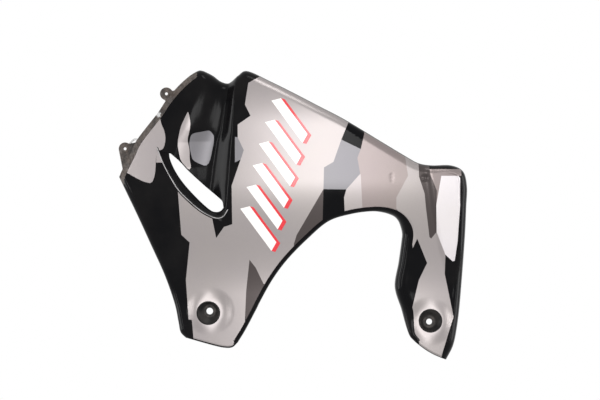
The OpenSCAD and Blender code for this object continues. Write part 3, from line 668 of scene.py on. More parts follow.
def add_lip(part, skin):
    """The vent's lip: a bead on its crest, and the hollow wall down to the edge of the slot."""
    share = np.linspace(0, 1, LIP_SECTIONS)
    c, e = along(skin.lip, share), along(skin.slot_low, share)
    o = lip_line(skin, skin.lip_bead, share)
    yc, yo = -skin.height(c), -skin.height(o)
    bottom = yc + (TIP_DEPTH + (skin.lip_depth - TIP_DEPTH) * ease(share * DEEPEN))
    rows = []
    for a in BEAD_STEPS:
        proud = skin.lip_proud * (1 - ((a - BEAD_PEAK) / (1 - BEAD_PEAK)) ** 2)
        rows.append(lay(c + (o - c) * a, yc + (yo - yc) * a - proud))
    start = yc - skin.lip_proud * BEAD_AT_CREST
    for a in WALL_STEPS:
        rows.append(lay(c + (e - c) * a, start + (bottom - start) * (1 - (1 - a) ** WALL_BOW)))
    rows += [lay(e, bottom + skin.wall), lay(c, yc + skin.wall + BACK_AT_CREST),
             lay(o, yo + skin.wall + BACK_AT_EDGE)]
    first = len(part.faces)
    loft(part, list(np.stack(rows, axis=1)), GLOSS)
    for row in range(first, first + (LIP_SECTIONS - 1) * len(rows), len(rows)):
        for finish, places in ((PAINTED_HIGHLIGHT, HIGHLIGHT_ROWS), (SHADED, SHADED_ROWS)):
            for i in places:
                part.finish[row + i] = finish


def add_cup(part, skin, hole, lean):
    """A dished fixing point with its floor and the back of its cup."""
    rim = dish_rim(skin, hole, lean)
    depth, wall, floor, top = skin.dish_depth, skin.wall, skin.floor_r, skin.dish_r
    y_rim = -skin.height(rim)
    rings = [lay(rim, y_rim)]
    cone = [(s, top + (floor - top) * s, depth * s) for s in (0.45, 0.8)]
    # Share of the way from the leaning rim to the hole, radius and depth of each ring
    for s, r, y in ((0.02, top - 0.2, 0.5), (0.1, top - 0.75, 1.4), *cone,
                    (0.9, floor + 1.1, depth - 1.3), (0.97, floor + 0.35, depth - 0.4),
                    (1, floor - 0.6, depth), (1, skin.seat_r, depth),
                    (1, skin.seat_r, depth + wall), (1, floor + wall - 1, depth + wall),
                    (0.95, floor + wall + 0.4, depth + wall - 1.2),
                    (0.1, top + wall - 0.6, wall + 0.8), (0, top + wall - 0.5, wall - 0.4)):
        blend = y_rim * max(0, 1 - s * 2) if y < depth * 0.5 else 0
        rings.append(ring(np.add(hole, np.multiply(lean, 1 - s)), r, y + blend))
    loft(part, rings, MATT, wrap=True)


# Steps of a plate's rounded edge: how far in, and how deep
PLATE_EDGE = ((0.7, 0), (0.2, 0.2), (0, 0.7))


def plate(part, loop, hole, y0, y1, finish):
    """A flat plate with softly rounded edges, and a round hole if one is given."""
    n = inward(loop)
    rings = [lay(loop + n * far, y0 + deep) for far, deep in PLATE_EDGE]
    rings += [lay(loop + n * far, y1 - deep) for far, deep in reversed(PLATE_EDGE)]
    points = np.vstack(rings)
    part.add(points, closed(points, ring_faces(len(loop), len(rings) - 1)), finish)
    holes = [] if hole is None else [circle(*hole, 32)]
    # A known fault: without a hole this test gives numbers, so only the first two triangles stay
    q, t = triangles([loop + n * PLATE_EDGE[0][0]] + holes, [], np.empty((0, 2)),
                     lambda c: inside(c, loop) & ~(inside(c, holes[0]) if holes else False))
    part.add(lay(q, y0), t, finish)
    part.add(lay(q, y1), t[:, ::-1], finish)
    for h in holes:
        part.add(np.vstack([lay(h, y0), lay(h, y1)]), ring_faces(len(h), 1), MATT)


# How far the ends of the upper ear's outline reach into the flange
EAR_SINK = 6


def ear_loop(skin, q, start, end):
    """Outline of a round ear with concave roots on the line from start to end."""
    q, start, end = (np.array(p, float) for p in (q, start, end))
    d = (end - start) / np.linalg.norm(end - start)
    n = np.array([-d[1], d[0]])
    off, r, f = (q - start) @ n, skin.tab_r, skin.tab_root_r
    foot = start + d * ((q - start) @ d)
    reach = math.sqrt((r + f) ** 2 - (off - f) ** 2)
    turn = math.pi - math.acos((off - f) / (r + f))
    w = np.linspace(0, turn, 8)
    root = np.column_stack([reach - f * np.sin(w), f * (1 - np.cos(w))])
    a = math.atan2(root[-1][1] - off, root[-1][0])
    arc = np.linspace(a, math.pi - a, 30)[1:-1]
    round_end = np.column_stack([r * np.cos(arc), off + r * np.sin(arc)])
    local = np.vstack([[[reach, -EAR_SINK]], root, round_end, root[::-1] * [-1, 1],
                       [[-reach, -EAR_SINK]]])
    return foot + local[:, :1] * d + local[:, 1:] * n


# The lower ear's plate: its first corner, the arc of the ear in degrees, and its other corners
PLATE_START, EAR_ARC = (-157.5, 256), (187, 53)
PLATE_END = [(-126, 306), (-137, 291), (-148, 262)]
# The middle of the clip loop, half its width, and how much thinner than the ear it is on each side
CLIP_LINE = [(-145, 301), (-141, 306), (-135.5, 310), (-129.5, 309.3), (-126, 305)]
CLIP_HALF, CLIP_INSET = 1.3, 0.2
# Radius of each ring of the low boss round a screw hole, and its depth below the ear's face
BOSS = ((3.4, 0.3), (3.6, -0.25), (4.2, -0.5), (6.4, -0.5), (7.0, -0.2), (7.3, 0.4))
# Radius of each ring of the locating peg, and its height over the inner face
PEG = ((4.2, 1), (4, 2), (3.8, 13), (3.2, 13.9), (0.05, 14))


def add_tabs(part, skin):
    """The two screw ears with their bosses, and the clip loop beside the lower one."""
    arc = np.radians(np.linspace(*EAR_ARC, 26))
    ear = np.array(TAB_LOWER) + skin.tab_r * np.column_stack([np.cos(arc), np.sin(arc)])
    for hole, loop in ((TAB_UPPER, ear_loop(skin, TAB_UPPER, FLANGE_EDGE[4], FLANGE_EDGE[6])),
                       (TAB_LOWER, np.vstack([PLATE_START, ear, PLATE_END]))):
        y = skin.tab_face(hole)
        plate(part, spaced(loop, 2), (hole, skin.tab_hole_r), y, y + skin.tab_t, DUSTY)
        loft(part, [ring(hole, r, y + deep, 48) for r, deep in BOSS], DUSTY, wrap=True)
    middle = spline(CLIP_LINE, 6)
    n = np.gradient(middle, axis=0)
    n = np.column_stack([n[:, 1], -n[:, 0]]) / np.linalg.norm(n, axis=1)[:, None]
    band = np.vstack([middle + n * CLIP_HALF, (middle - n * CLIP_HALF)[::-1]])
    plate(part, band, None, y + CLIP_INSET, y + skin.tab_t - CLIP_INSET, DUSTY)


def add_peg(part, skin):
    """The locating peg behind the sink mark."""
    start = -skin.height(np.array([SINK], float))[0]
    rings = [ring(SINK, 4.8, start + skin.wall * 0.6, 32)]
    rings += [ring(SINK, r, start + (skin.wall + y), 32) for r, y in PEG]
    loft(part, rings, BARE)


# Decal film


# How far the film stops short of the nose, the top edge and the ends of the rear and the front leg
NOSE_GAP, TOP_GAP, REAR_FOOT_GAP, FRONT_FOOT_GAP = 15, 1.6, 1.5, 2.8
# Share of the rear leg's side wall that stays bare
BARE_FLANK = 0.7
# How near a point of the outline is to the edge it belongs to
ON_EDGE = 0.02
# Least and most of the way in to the end of the film, as shares of the gap, and the rounds it takes
LEAST_WAY, MOST_WAY, ROUNDS = 0.6, 1.6, 6
# How far a line's points and the middles of a sheet's faces may pass the ends of the film
LINE_SLACK, SHEET_SLACK = 0.03, 0.05
# How near a line's points must be to join, and how far past a field they count
JOIN_REACH, FIELD_REACH = 12, 8
# The stretch of the lip that borders the silver, as shares of the crest, and its number of points
UNDER_LIP, UNDER_LIP_POINTS = (15 / 18, 8 / 18), 24
# Spacing of the points on a field's outline
CUT_STEP = 2.5


def film_sides(skin):
    """The edges of the cowl, each with how far the film stops short of it."""
    reach = NOSE_GAP - skin.flange_w - FLANGE_REACH
    return [(skin.flange, lambda q: NOSE_GAP - reach * ease(skin.flange_share(q) * 2)),
            (skin.outer, lambda q: np.full(len(q), TOP_GAP)),
            (skin.rear_foot, lambda q: np.full(len(q), REAR_FOOT_GAP)),
            (skin.inner,
             lambda q: skin.arch_roll_w + BARE_FLANK * skin.flank_w * skin.flank_share(q)),
            (skin.leg, skin.arch_w),
            (skin.foot, lambda q: np.full(len(q), FRONT_FOOT_GAP)),
            (skin.front, lambda q: np.full(len(q), 2 * skin.end_roll_w))]


def clear_of_edges(skin, q):
    return np.min([distance(q, line) - gap(q) for line, gap in film_sides(skin)], axis=0)


def end_lines(skin):
    """Lines where the film ends beside each edge, and which points are clear of the other edges."""
    out, n, found = skin.outline, inward(skin.outline), []
    for line, gap in film_sides(skin):
        on = distance(out, line) < ON_EDGE
        start = gap(out)[on]
        deep = start
        for _ in range(ROUNDS):
            q = out[on] + n[on] * deep[:, None]
            deep = deep + gap(q) - distance(q, line)
            deep = np.clip(deep, LEAST_WAY * start, MOST_WAY * start)
        if len(q):
            found.append((q, clear_of_edges(skin, q) > -LINE_SLACK))
    return found


def film_lines(skin, low, high):
    """The lines where the film ends, and which of their points join near one field."""
    found = []
    for q, clear in skin.film_ends:
        ok = clear & np.all((q > low - FIELD_REACH) & (q < high + FIELD_REACH), axis=1)
        near = np.linalg.norm(np.diff(q, axis=0), axis=1) < JOIN_REACH
        found.append((q, ok[:-1] & ok[1:] & near))
    return found


def field_loop(skin, field):
    """A field's outline, with the stretch that runs along the lip of the vent filled in."""
    points = []
    for p in field:
        if p == "under the lip":
            share = np.linspace(*UNDER_LIP, UNDER_LIP_POINTS)
            points.extend(lip_line(skin, skin.lip_bead + skin.film_margin, share))
        else:
            points.append(p)
    return np.array(points, float)


def add_film(part, skin, field, lift=0.0, soft=False):
    """One field of film, a closed sheet on the skin with its outline cut as a knife cuts it."""
    loop = field_loop(skin, field)
    loop = spaced(softened(loop) if soft else loop, CUT_STEP)
    low, high = loop.min(0), loop.max(0)
    dishes = [dish_rim(skin, *dish, skin.film_margin) for dish in DISHES]
    dishes = [c for c in dishes if np.all(c.max(0) > low) and np.all(c.min(0) < high)]

    def covered(c):
        ok = inside(c, loop) & inside(c, skin.outline) & outside(c, [vent_loop(skin)] + dishes)
        ok[ok] &= clear_of_edges(skin, c[ok]) > -SHEET_SLACK
        return ok

    grid = grid_points(FILM_STEP, low, high)
    grid = grid[inside(grid, loop)]
    grid = grid[distance(grid, round_line(loop)) > FIELD_GAP]
    rows, _ = skin.rolled_rows
    extra = np.vstack([grid, rows[inside(rows, loop)]])
    q, t = triangles([loop] + dishes, film_lines(skin, low, high), extra, covered)
    normals = skin.normal(q)
    below = skin.at(q, lift)
    base = part.add(below + skin.film_t * normals, t, 0, normals)
    under = part.add(below, t[:, ::-1])
    part.link([(base + b, base + a, under + a, under + b) for a, b in rim_loops(t)])


# Rubber


def add_grommet(part, skin, hole, bore):
    """A sleeve through the floor of a dish, with a rounded flange on each side."""
    r, lip, seat = skin.grommet_r, skin.grommet_lip, skin.seat_r
    near = skin.dish_depth - lip
    floor, back = skin.dish_depth, skin.dish_depth + skin.wall
    far = back + lip
    profile = [(bore, near + 0.5), (bore + 0.5, near), (bore + 1.6, near), (bore + 2.1, near + 0.45),
               (r - 1.6, near + 0.45), (r - 1.1, near), (r - 0.5, near), (r, near + 0.5), (r, floor),
               (seat, floor), (seat, back), (r, back), (r - 0.2, far - 0.4), (r - 0.6, far),
               (bore + 0.4, far), (bore, far - 0.4)]
    loft(part, [ring(hole, radius, y, 80) for radius, y in profile], 0, wrap=True)


# Finishes


class Tree:
    """Short hand for a material's nodes."""

    def __init__(self, name):
        self.material = bpy.data.materials.new(name)
        self.material.use_nodes = True
        self.nodes, self.links = self.material.node_tree.nodes, self.material.node_tree.links
        self.shader = self.nodes["Principled BSDF"]
        self.where = self.nodes.new("ShaderNodeTexCoord").outputs["Object"]

    def set(self, node, socket, value):
        if isinstance(value, bpy.types.NodeSocket):
            self.links.new(value, node.inputs[socket])
        else:
            node.inputs[socket].default_value = value

    def node(self, kind, sockets, **settings):
        """A new node with its settings, and its sockets set or linked."""
        node = self.nodes.new("ShaderNode" + kind)
        for key, value in settings.items():
            setattr(node, key, value)
        for socket, value in sockets.items():
            self.set(node, socket, value)
        return node

    def stretched(self, scale):
        """Object coordinates scaled by x, y and z."""
        return self.node("Mapping", {"Scale": scale, "Vector": self.where}).outputs["Vector"]

    def noise(self, scale, detail=3.0, rough=0.55, vector=None):
        sockets = {"Scale": scale, "Detail": detail, "Roughness": rough,
                   "Vector": vector or self.where}
        return self.node("TexNoise", sockets).outputs["Fac"]

    def ramp(self, value, low, high, to_low=0.0, to_high=1.0):
        """A value mapped from one range to another, and held at its ends."""
        sockets = {"Value": value, "From Min": low, "From Max": high,
                   "To Min": to_low, "To Max": to_high}
        return self.node("MapRange", sockets).outputs["Result"]

    def math(self, how, a, b):
        return self.node("Math", {0: a, 1: b}, operation=how).outputs[0]

    def times(self, a, b):
        return self.math("MULTIPLY", a, b)

    def plus(self, a, b):
        return self.math("ADD", a, b)

    def mix(self, share, a, b):
        """A mix of two colours."""
        a, b = (v if isinstance(v, bpy.types.NodeSocket) else (*v, 1.0) for v in (a, b))
        return self.node("Mix", {0: share, 6: a, 7: b}, data_type="RGBA").outputs[2]

    def bump(self, height, strength, distance, normal=None):
        sockets = {"Strength": strength, "Distance": distance, "Height": height}
        if normal is not None:
            sockets["Normal"] = normal
        return self.node("Bump", sockets).outputs["Normal"]

    def blend_with_white(self, surface):
        """Sends a mix of a surface and plain white to the output."""
        blend = self.node("MixShader", {1: surface, 2: self.node("Emission", {}).outputs[0]})
        self.links.new(blend.outputs[0], self.nodes["Material Output"].inputs["Surface"])
        return blend

    def finish(self, **values):
        """Sets the shader's sockets by name."""
        for key, value in values.items():
            name = {"colour": "Base Color", "ior": "IOR", "coat": "Coat Weight",
                    "coat_rough": "Coat Roughness", "specular": "Specular IOR Level"}.get(
                        key, key.replace("_", " ").title())
            if name == "Base Color" and not isinstance(value, bpy.types.NodeSocket):
                value = (*value, 1.0)
            self.set(self.shader, name, value)
        return self.material


def scratches(tree, scale=60.0):
    """Faint hairline scratches in two directions, as a value that is mostly 0."""
    one = tree.noise(1.0, 2.0, 0.5, tree.stretched((scale * 14, scale, scale)))
    two = tree.noise(1.0, 2.0, 0.5, tree.stretched((scale * 2, scale, scale * 11)))
    return tree.math("MAXIMUM", tree.ramp(one, 0.68, 0.76), tree.ramp(two, 0.7, 0.78))


def gloss_black(colour, dust, dust_share):
    """Moulded gloss plastic with a haze of dust, hairline scratches and a slight ripple."""
    t = Tree("moulded_gloss_black")
    speck = t.ramp(t.noise(900.0, 2.0), 0.62, 0.74)
    haze = t.ramp(t.noise(14.0, 5.0), 0.42, 0.75)
    dirt = t.times(t.plus(t.times(speck, 0.35), haze), dust_share)
    hair = scratches(t)
    rough = t.plus(t.ramp(haze, 0, 1, 0.1, 0.2), t.times(hair, 0.12))
    ripple = t.bump(t.noise(26.0, 1.0), 0.05, 0.004)
    return t.finish(colour=t.mix(dirt, colour, dust), roughness=rough, specular=0.065,
                    normal=t.bump(hair, 0.06, 0.0002, ripple))


def matt_black(name, colour, dust, dust_share, specular):
    """Unpolished black plastic with dust lying in it."""
    t = Tree(name)
    grain = t.noise(1600.0, 2.0)
    lie = t.times(t.ramp(t.noise(45.0, 5.0), 0.35, 0.75), dust_share)
    return t.finish(colour=t.mix(lie, colour, dust), roughness=t.ramp(grain, 0.3, 0.7, 0.42, 0.6),
                    specular=specular, normal=t.bump(grain, 0.22, 0.0002))


RUBBED, RUSTY = (0.2, 0.18, 0.17), (0.055, 0.036, 0.026)
# A pale rub mark on the flange, between the screw ears
RUB_PLACE, RUB_RADIUS, RUB_TONE = (-0.0925, 0, 0.3545), 0.005, (0.5, 0.5, 0.5)


def dusty_plastic(colour, dust):
    """The unpainted screw flange: grey-brown with ground-in dirt, scuffs and one pale rub mark."""
    t = Tree("dusty_flange_plastic")
    cloud = t.ramp(t.noise(75.0, 6.0, 0.7), 0.4, 0.6)
    fine = t.ramp(t.noise(380.0, 4.0, 0.7), 0.42, 0.6)
    streaks = t.ramp(t.noise(1.0, 4.0, 0.6, t.stretched((260, 90, 70))), 0.55, 0.75)
    rust = t.ramp(t.noise(38.0, 3.0), 0.45, 0.62)
    dirt = t.plus(t.times(cloud, 0.5), t.times(fine, 0.35))
    base = t.mix(dirt, colour, dust)
    base = t.mix(t.times(rust, 0.4), base, RUSTY)
    base = t.mix(t.times(streaks, 0.4), base, RUBBED)
    away = t.node("VectorMath", {0: t.stretched((1, 0, 1)), 1: RUB_PLACE}, operation="DISTANCE")
    rub = t.plus(away.outputs["Value"], t.ramp(fine, 0, 1, -0.0015, 0.0015))
    base = t.mix(t.ramp(rub, RUB_RADIUS, 0.6 * RUB_RADIUS), base, RUB_TONE)
    return t.finish(colour=base, roughness=t.ramp(fine, 0, 1, 0.5, 0.78), specular=0.2,
                    normal=t.bump(fine, 0.35, 0.0004))


def painted_crest_highlight(colour):
    """A painted highlight along the crest of the lip: a pale tone, stronger in some places than in
    others.
    """
    t = Tree("worn_lip_edge")
    highlight_share = t.ramp(t.noise(60.0, 4.0), 0.3, 0.6, 0.25, 1.0)
    return t.finish(colour=t.mix(highlight_share, tuple(c * 0.25 for c in colour), colour),
                    roughness=t.ramp(highlight_share, 0.25, 1.0, 0.25, 0.4), specular=0.4)


def bare_inside(colour):
    """The unfinished inner side: satin black with flow marks and fine spark texture."""
    t = Tree("moulded_inside")
    spark = t.noise(1300.0, 3.0, 0.7)
    flow = t.noise(1.0, 3.0, 0.6, t.stretched((9, 9, 30)))
    tone = t.mix(t.ramp(flow, 0.3, 0.75, 0.0, 0.6), colour, (0.03, 0.029, 0.029))
    return t.finish(colour=tone, roughness=t.ramp(spark, 0.3, 0.7, 0.45, 0.62), specular=0.35,
                    normal=t.bump(spark, 0.3, 0.00025))


# How far a metallic film's flakes differ from its tone, and the tone of its clouds against its own
FLAKE, CLOUD = 0.09, (0.93, 0.92, 0.99)


def metallic_film(name, colour, metal):
    """Printed metallic film under a clear coat: flake, soft clouding and hairline scratches."""
    t = Tree(name)
    grain = t.noise(2600.0, 2.0, 0.6)
    cloud = t.noise(7.0, 4.0)
    light = tuple(min(1.0, c * (1 + FLAKE)) for c in colour)
    dark = tuple(c * (1 - FLAKE) for c in colour)
    tone = t.mix(t.ramp(grain, 0.32, 0.68), dark, light)
    shade = tuple(c * k for c, k in zip(colour, CLOUD))
    tone = t.mix(t.ramp(cloud, 0.35, 0.7, 0.0, 0.55), tone, shade)
    speck = t.ramp(t.noise(420.0, 3.0, 0.7), 0.71, 0.78, 0.0, 0.35)
    tone = t.mix(speck, tone, tuple(c * 0.45 for c in colour))
    hair = scratches(t, 45.0)
    orange = t.bump(t.noise(330.0, 2.0), 0.03, 0.0003)
    return t.finish(colour=tone, metallic=metal, roughness=t.ramp(grain, 0.3, 0.7, 0.34, 0.45),
                    coat=0.15, coat_rough=0.22, normal=t.bump(hair, 0.05, 0.0001, orange))


def printed_ink(name, colour):
    """Opaque gloss ink with faint mottling and rubbed specks."""
    t = Tree(name)
    mottle = t.ramp(t.noise(120.0, 5.0, 0.6), 0.3, 0.75, 0.0, 0.35)
    speck = t.ramp(t.noise(700.0, 3.0, 0.7), 0.7, 0.78, 0.0, 0.4)
    tone = t.mix(mottle, colour, tuple(c * 0.86 for c in colour))
    tone = t.mix(speck, tone, tuple(c * 0.6 for c in colour))
    return t.finish(colour=tone, roughness=t.ramp(mottle, 0, 0.35, 0.24, 0.36), coat=0.4,
                    coat_rough=0.1, normal=t.bump(scratches(t, 45.0), 0.05, 0.0001))


def rubber(colour, dust):
    """Aged rubber with dust in its groove."""
    t = Tree("grommet_rubber")
    grain = t.noise(1500.0, 3.0)
    lie = t.times(t.ramp(t.noise(150.0, 4.0), 0.35, 0.7), 0.45)
    return t.finish(colour=t.mix(lie, colour, dust), roughness=t.ramp(grain, 0.3, 0.7, 0.6, 0.82),
                    specular=0.3, normal=t.bump(grain, 0.3, 0.0002))


# Settings


def length(name, mm, what):
    return bpy.props.FloatProperty(name=name, description=what, default=mm / 1000, min=0.0,
                                   unit="LENGTH", precision=4)


def tone(name, what, colour):
    return bpy.props.FloatVectorProperty(name=name, description=what, default=tuple(colour),
                                         subtype="COLOR", size=3, min=0.0, max=1.0)


class CowlSizes(bpy.types.PropertyGroup):
    wall: length("Wall", 2.6, "Wall thickness of the moulding")
    crown_h: length("Crown", 48, "How far the middle of the skin stands out beyond the fixing holes")
    front_fall: length("Front fall", 62, "How far the skin falls back to the front point")
    leg_fall: length("Leg fall", 30, "How far the two legs are set back")
    top_fall: length("Top fall", 16, "How far the skin falls back towards the front peak")
    top_roll_w: length("Top roll width", 15, "Width of the rolled edge along the top")
    top_roll_h: length("Top roll depth", 17, "Depth of the rolled edge along the top")
    rear_roll_w: length("Rear roll width", 12, "Width of the rolled edge down the back")
    arch_roll_w: length("Arch roll width", 8, "Width of the rolled edge round the arch")
    arch_roll_h: length("Arch roll depth", 9, "Depth of the rolled edge round the arch")
    flank_w: length("Flank width", 17, "Extra width of the side wall inside the rear leg")
    flank_h: length("Flank depth", 20, "Extra depth of the side wall inside the rear leg")
    end_roll_w: length("End roll", 5, "Width of the rolled edge along the leg ends")
    rim_back: length("Rim", 7, "How far the rim turns straight back")
    border_h: length("Border", 1.8, "Height of the raised border down the rear leg")
    fold_h: length("Fold", 4, "Height of the soft fold down the rear leg")
    dimple_h: length("Dimple", 2.5, "Depth of the dimple at the top of the fold")
    foot_bow: length("Foot bow", 3.5, "How far the end of the rear leg bows out")
    flange_w: length("Flange width", 8.5, "Width of the screw flange")
    flange_step: length("Flange step", 3, "Step from the skin down to the flange")
    tab_r: length("Ear radius", 11.5, "Radius of the screw ears")
    tab_hole_r: length("Screw hole", 2.6, "Radius of the holes in the screw ears")
    tab_t: length("Ear thickness", 5, "Thickness of the screw ears")
    tab_root_r: length("Ear root", 4, "Radius of the concave roots of the upper ear")
    scoop_top_depth: length("Scoop at top", 17, "Depth of the air scoop at the top edge")
    scoop_vent_depth: length("Scoop at vent", 25, "Depth of the air scoop beside the vent")
    lip_depth: length("Lip depth", 16, "Depth of the hollow wall inside the vent's lip")
    lip_proud: length("Lip height", 1.2, "How far the lip stands proud of the skin")
    lip_bead: length("Lip bead", 2.4, "Width of the bead along the lip")
    dish_r: length("Dish radius", 20, "Radius of the dishes where they meet the skin")
    floor_r: length("Dish floor", 12.8, "Radius of the flat floor of the dishes")
    dish_depth: length("Dish depth", 9, "Depth of the dishes")
    seat_r: length("Grommet seat", 9, "Radius of the hole that holds a grommet")
    grommet_r: length("Grommet radius", 11.4, "Radius of the grommets' flanges")
    grommet_lip: length("Grommet flange", 1.6, "Thickness of each grommet flange")
    front_bore_r: length("Front bore", 6, "Radius of the bore in the front grommet")
    rear_bore_r: length("Rear bore", 5.3, "Radius of the bore in the rear grommet")
    film_t: length("Film", 0.3, "Thickness of the decal film")
    film_margin: length("Film margin", 1.5, "Bare margin of skin round a dish")


class CowlTones(bpy.types.PropertyGroup):
    black: tone("Black", "Moulded gloss plastic", (0.0028, 0.0028, 0.0034))
    matt: tone("Matt black", "Plastic inside the dishes", (0.008, 0.0078, 0.0078))
    flange: tone("Flange", "Unpainted plastic of the screw flange", (0.02, 0.0185, 0.018))
    dust: tone("Dust", "Dust and ground-in dirt", (0.15, 0.128, 0.115))
    # The crest tone below is a painted highlight along the vent's lip.
    worn: tone("Worn edge", "Crest of the vent's lip, rubbed pale", (0.36, 0.35, 0.35))
    inside: tone("Inside", "Unfinished inner side", (0.02, 0.02, 0.021))
    rubber: tone("Rubber", "Grommets", (0.016, 0.015, 0.015))
    silver_film: tone("Silver film", "Main tone of the camouflage", (0.298, 0.271, 0.262))
    grey_film: tone("Grey film", "Grey fields", (0.148, 0.143, 0.149))
    light_taupe_film: tone("Light taupe film", "Light taupe fields", (0.222, 0.187, 0.178))
    dark_taupe_film: tone("Dark taupe film", "Dark taupe fields", (0.054, 0.044, 0.042))
    pale_film: tone("Pale film", "Pale field of the rear leg", (0.64, 0.605, 0.6))
    white_film: tone("White film", "Slanted bars", (0.86, 0.84, 0.81))
    red_film: tone("Red film", "Edges of the slanted bars", (0.66, 0.012, 0.024))
    dust_share: bpy.props.FloatProperty(name="Dust", description="How much dust lies on the gloss",
                                        default=0.03, min=0.0, max=1.0, subtype="FACTOR")


class CowlStudio(bpy.types.PropertyGroup):
    camera_distance: length("Camera distance", 10000, "From the camera to the middle of the cowl")
    view_width: length("View width", 1080, "Width of the picture at the cowl")
    floor_drop: length("Floor", 300, "How far the floor lies below the front bore")
    floor_radius: length("Floor radius", 1250, "Radius of the floor")
    front_power: bpy.props.FloatProperty(name="Front light", default=56.0, min=0.0, unit="POWER",
                                         description="Power of the soft box in front of the cowl")
    strip_power: bpy.props.FloatProperty(name="Strip lights", default=12.0, min=0.0, unit="POWER",
                                         description="Power of each strip at the sides and top")
    surround: bpy.props.FloatProperty(name="Surround", default=0.62, min=0.0,
                                      description="Strength of the studio's pale walls")


# Operators


def skin_of(context):
    return Skin(context.scene.cowl_sizes)


def plane_height(skin):
    """Depth of the frame's origin, the middle of the front bore, below the plane of the skin."""
    return skin.dish_depth + skin.wall / 2


class COWL_OT_add_shell(bpy.types.Operator):
    """Adds the moulded shell with its lip, dishes, screw ears and peg"""

    bl_idname = "cowl.add_shell"
    bl_label = "Moulded shell"

    def execute(self, context):
        skin, tones = skin_of(context), context.scene.cowl_tones
        part = Part()
        add_shell(part, skin)
        add_lip(part, skin)
        for dish in DISHES:
            add_cup(part, skin, *dish)
        add_tabs(part, skin)
        add_peg(part, skin)
        shell = part.make("moulded_shell", [
            gloss_black(tones.black, tones.dust, tones.dust_share),
            matt_black("moulded_matt_black", tones.matt, tones.dust, dust_share=0.22, specular=0.2),
            dusty_plastic(tones.flange, tones.dust), bare_inside(tones.inside),
            # The lip's crest gets a pale tone as a painted highlight.
            painted_crest_highlight(tones.worn),
            matt_black("shaded_lip_wall", tones.black, tones.dust, tones.dust_share, specular=0.04)],
            plane_height(skin))
        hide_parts("panel")
        return {"FINISHED"}


# How metallic the films are
METAL, PALE_METAL = 0.78, 0.3
# Fields of each tone, and whether their corners are soft
FILMS = {
    "silver_film": [(BODY_SILVER, False), (ARCH_SILVER, False), (REAR_SILVER, False),
                    (NOSE_SILVER, True), (STREAK, True), (TIP_SILVER, False)],
    # The scoop's silver field is laid in the grey tone as painted shade.
    "grey_film": [(SCOOP_SILVER_IN_PAINTED_SHADE, True), (BANK_GREY, False), (MAIN_GREY, False)],
    # The corner field's top strip is painted shadow under the rear border.
    "light_taupe_film": [(LIGHT_TAUPE, False), (CORNER_TAUPE_AND_SHADOW, False)],
    "dark_taupe_film": [(LEG_TAUPE, False), (ARCH_TAUPE, False), (WEDGE, False)],
    "pale_film": [(PALE_FIELD, False)],
}


class COWL_OT_add_films(bpy.types.Operator):
    """Adds the camouflage film, one piece for each tone"""

    bl_idname = "cowl.add_films"
    bl_label = "Camouflage film"

    def execute(self, context):
        skin, tones = skin_of(context), context.scene.cowl_tones
        for name, fields in FILMS.items():
            part = Part()
            for field, soft in fields:
                add_film(part, skin, field, soft=soft)
            metal = PALE_METAL if name == "pale_film" else METAL
            film = part.make("camouflage_" + name.replace("_film", ""),
                             [metallic_film(name, getattr(tones, name), metal)], plane_height(skin))
            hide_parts(name)
        return {"FINISHED"}


# The slanted bars: the middles of the lowest and the highest, half of a bar along and across, the
# offset of its red edge, and the length of its inner side as a share of its outer
BAR_COUNT = 6
BAR_LOW, BAR_HIGH = np.array([90.0, 152.0]), np.array([146.0, 346.0])
BAR_HALF, BAR_SIDE, BAR_EDGE = np.array([28.0, -38.0]), np.array([6.5, 5.0]), np.array([7.0, -2.0])
BAR_TAPER = 0.85


def bar_loops():
    """Outlines of the plain slanted bars, and of the red edge of each."""
    bars, edges = [], []
    for k in range(BAR_COUNT):
        c = BAR_LOW + (BAR_HIGH - BAR_LOW) * k / (BAR_COUNT - 1)
        b = [c - BAR_HALF - BAR_SIDE, c + BAR_HALF - BAR_SIDE, c + BAR_TAPER * BAR_HALF + BAR_SIDE,
             c - BAR_TAPER * BAR_HALF + BAR_SIDE]
        e = [b[1], b[1] + BAR_EDGE, b[2] + BAR_EDGE, b[3] + BAR_EDGE, b[3], b[2]]
        bars.append([tuple(p) for p in b])
        edges.append([tuple(p) for p in e])
    return bars, edges


class COWL_OT_add_bars(bpy.types.Operator):
    """Adds the plain slanted bars that climb the body"""

    bl_idname = "cowl.add_bars"
    bl_label = "Slanted bars"

    def execute(self, context):
        skin, tones = skin_of(context), context.scene.cowl_tones
        for name, loops in zip(("white_film", "red_film"), bar_loops()):
            part = Part()
            for loop in loops:
                add_film(part, skin, loop, lift=skin.film_t)
            bars = part.make("bars_" + name.replace("_film", ""),
                             [printed_ink(name, getattr(tones, name))], plane_height(skin))
            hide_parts(name)
        return {"FINISHED"}


class COWL_OT_add_grommets(bpy.types.Operator):
    """Adds the rubber grommets of the two fixing points"""

    bl_idname = "cowl.add_grommets"
    bl_label = "Grommets"

    def execute(self, context):
        skin, tones = skin_of(context), context.scene.cowl_tones
        finish = rubber(tones.rubber, tones.dust)
        for name, hole, bore in (("front_grommet", FRONT_HOLE, skin.front_bore_r),
                                 ("rear_grommet", REAR_HOLE, skin.rear_bore_r)):
            part = Part()
            add_grommet(part, skin, hole, bore)
            grommet = part.make("rubber_" + name, [finish], plane_height(skin))
            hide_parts(name)
        return {"FINISHED"}


# What the camera looks at: the middle of the cowl as framed, at the depth of the skin
MIDDLE = Vector((0.1629, -0.03, 0.2005))

# Where the floor's fade into the white ground starts and ends, as shares of its radius, and how
# white its middle is
FADE_START, FADE_END, MIDDLE_GLOW = 0.45, 0.95, 0.55
# Width of the camera's sensor in millimetres, and how far it sees in metres
SENSOR, SIGHT = 36, 50

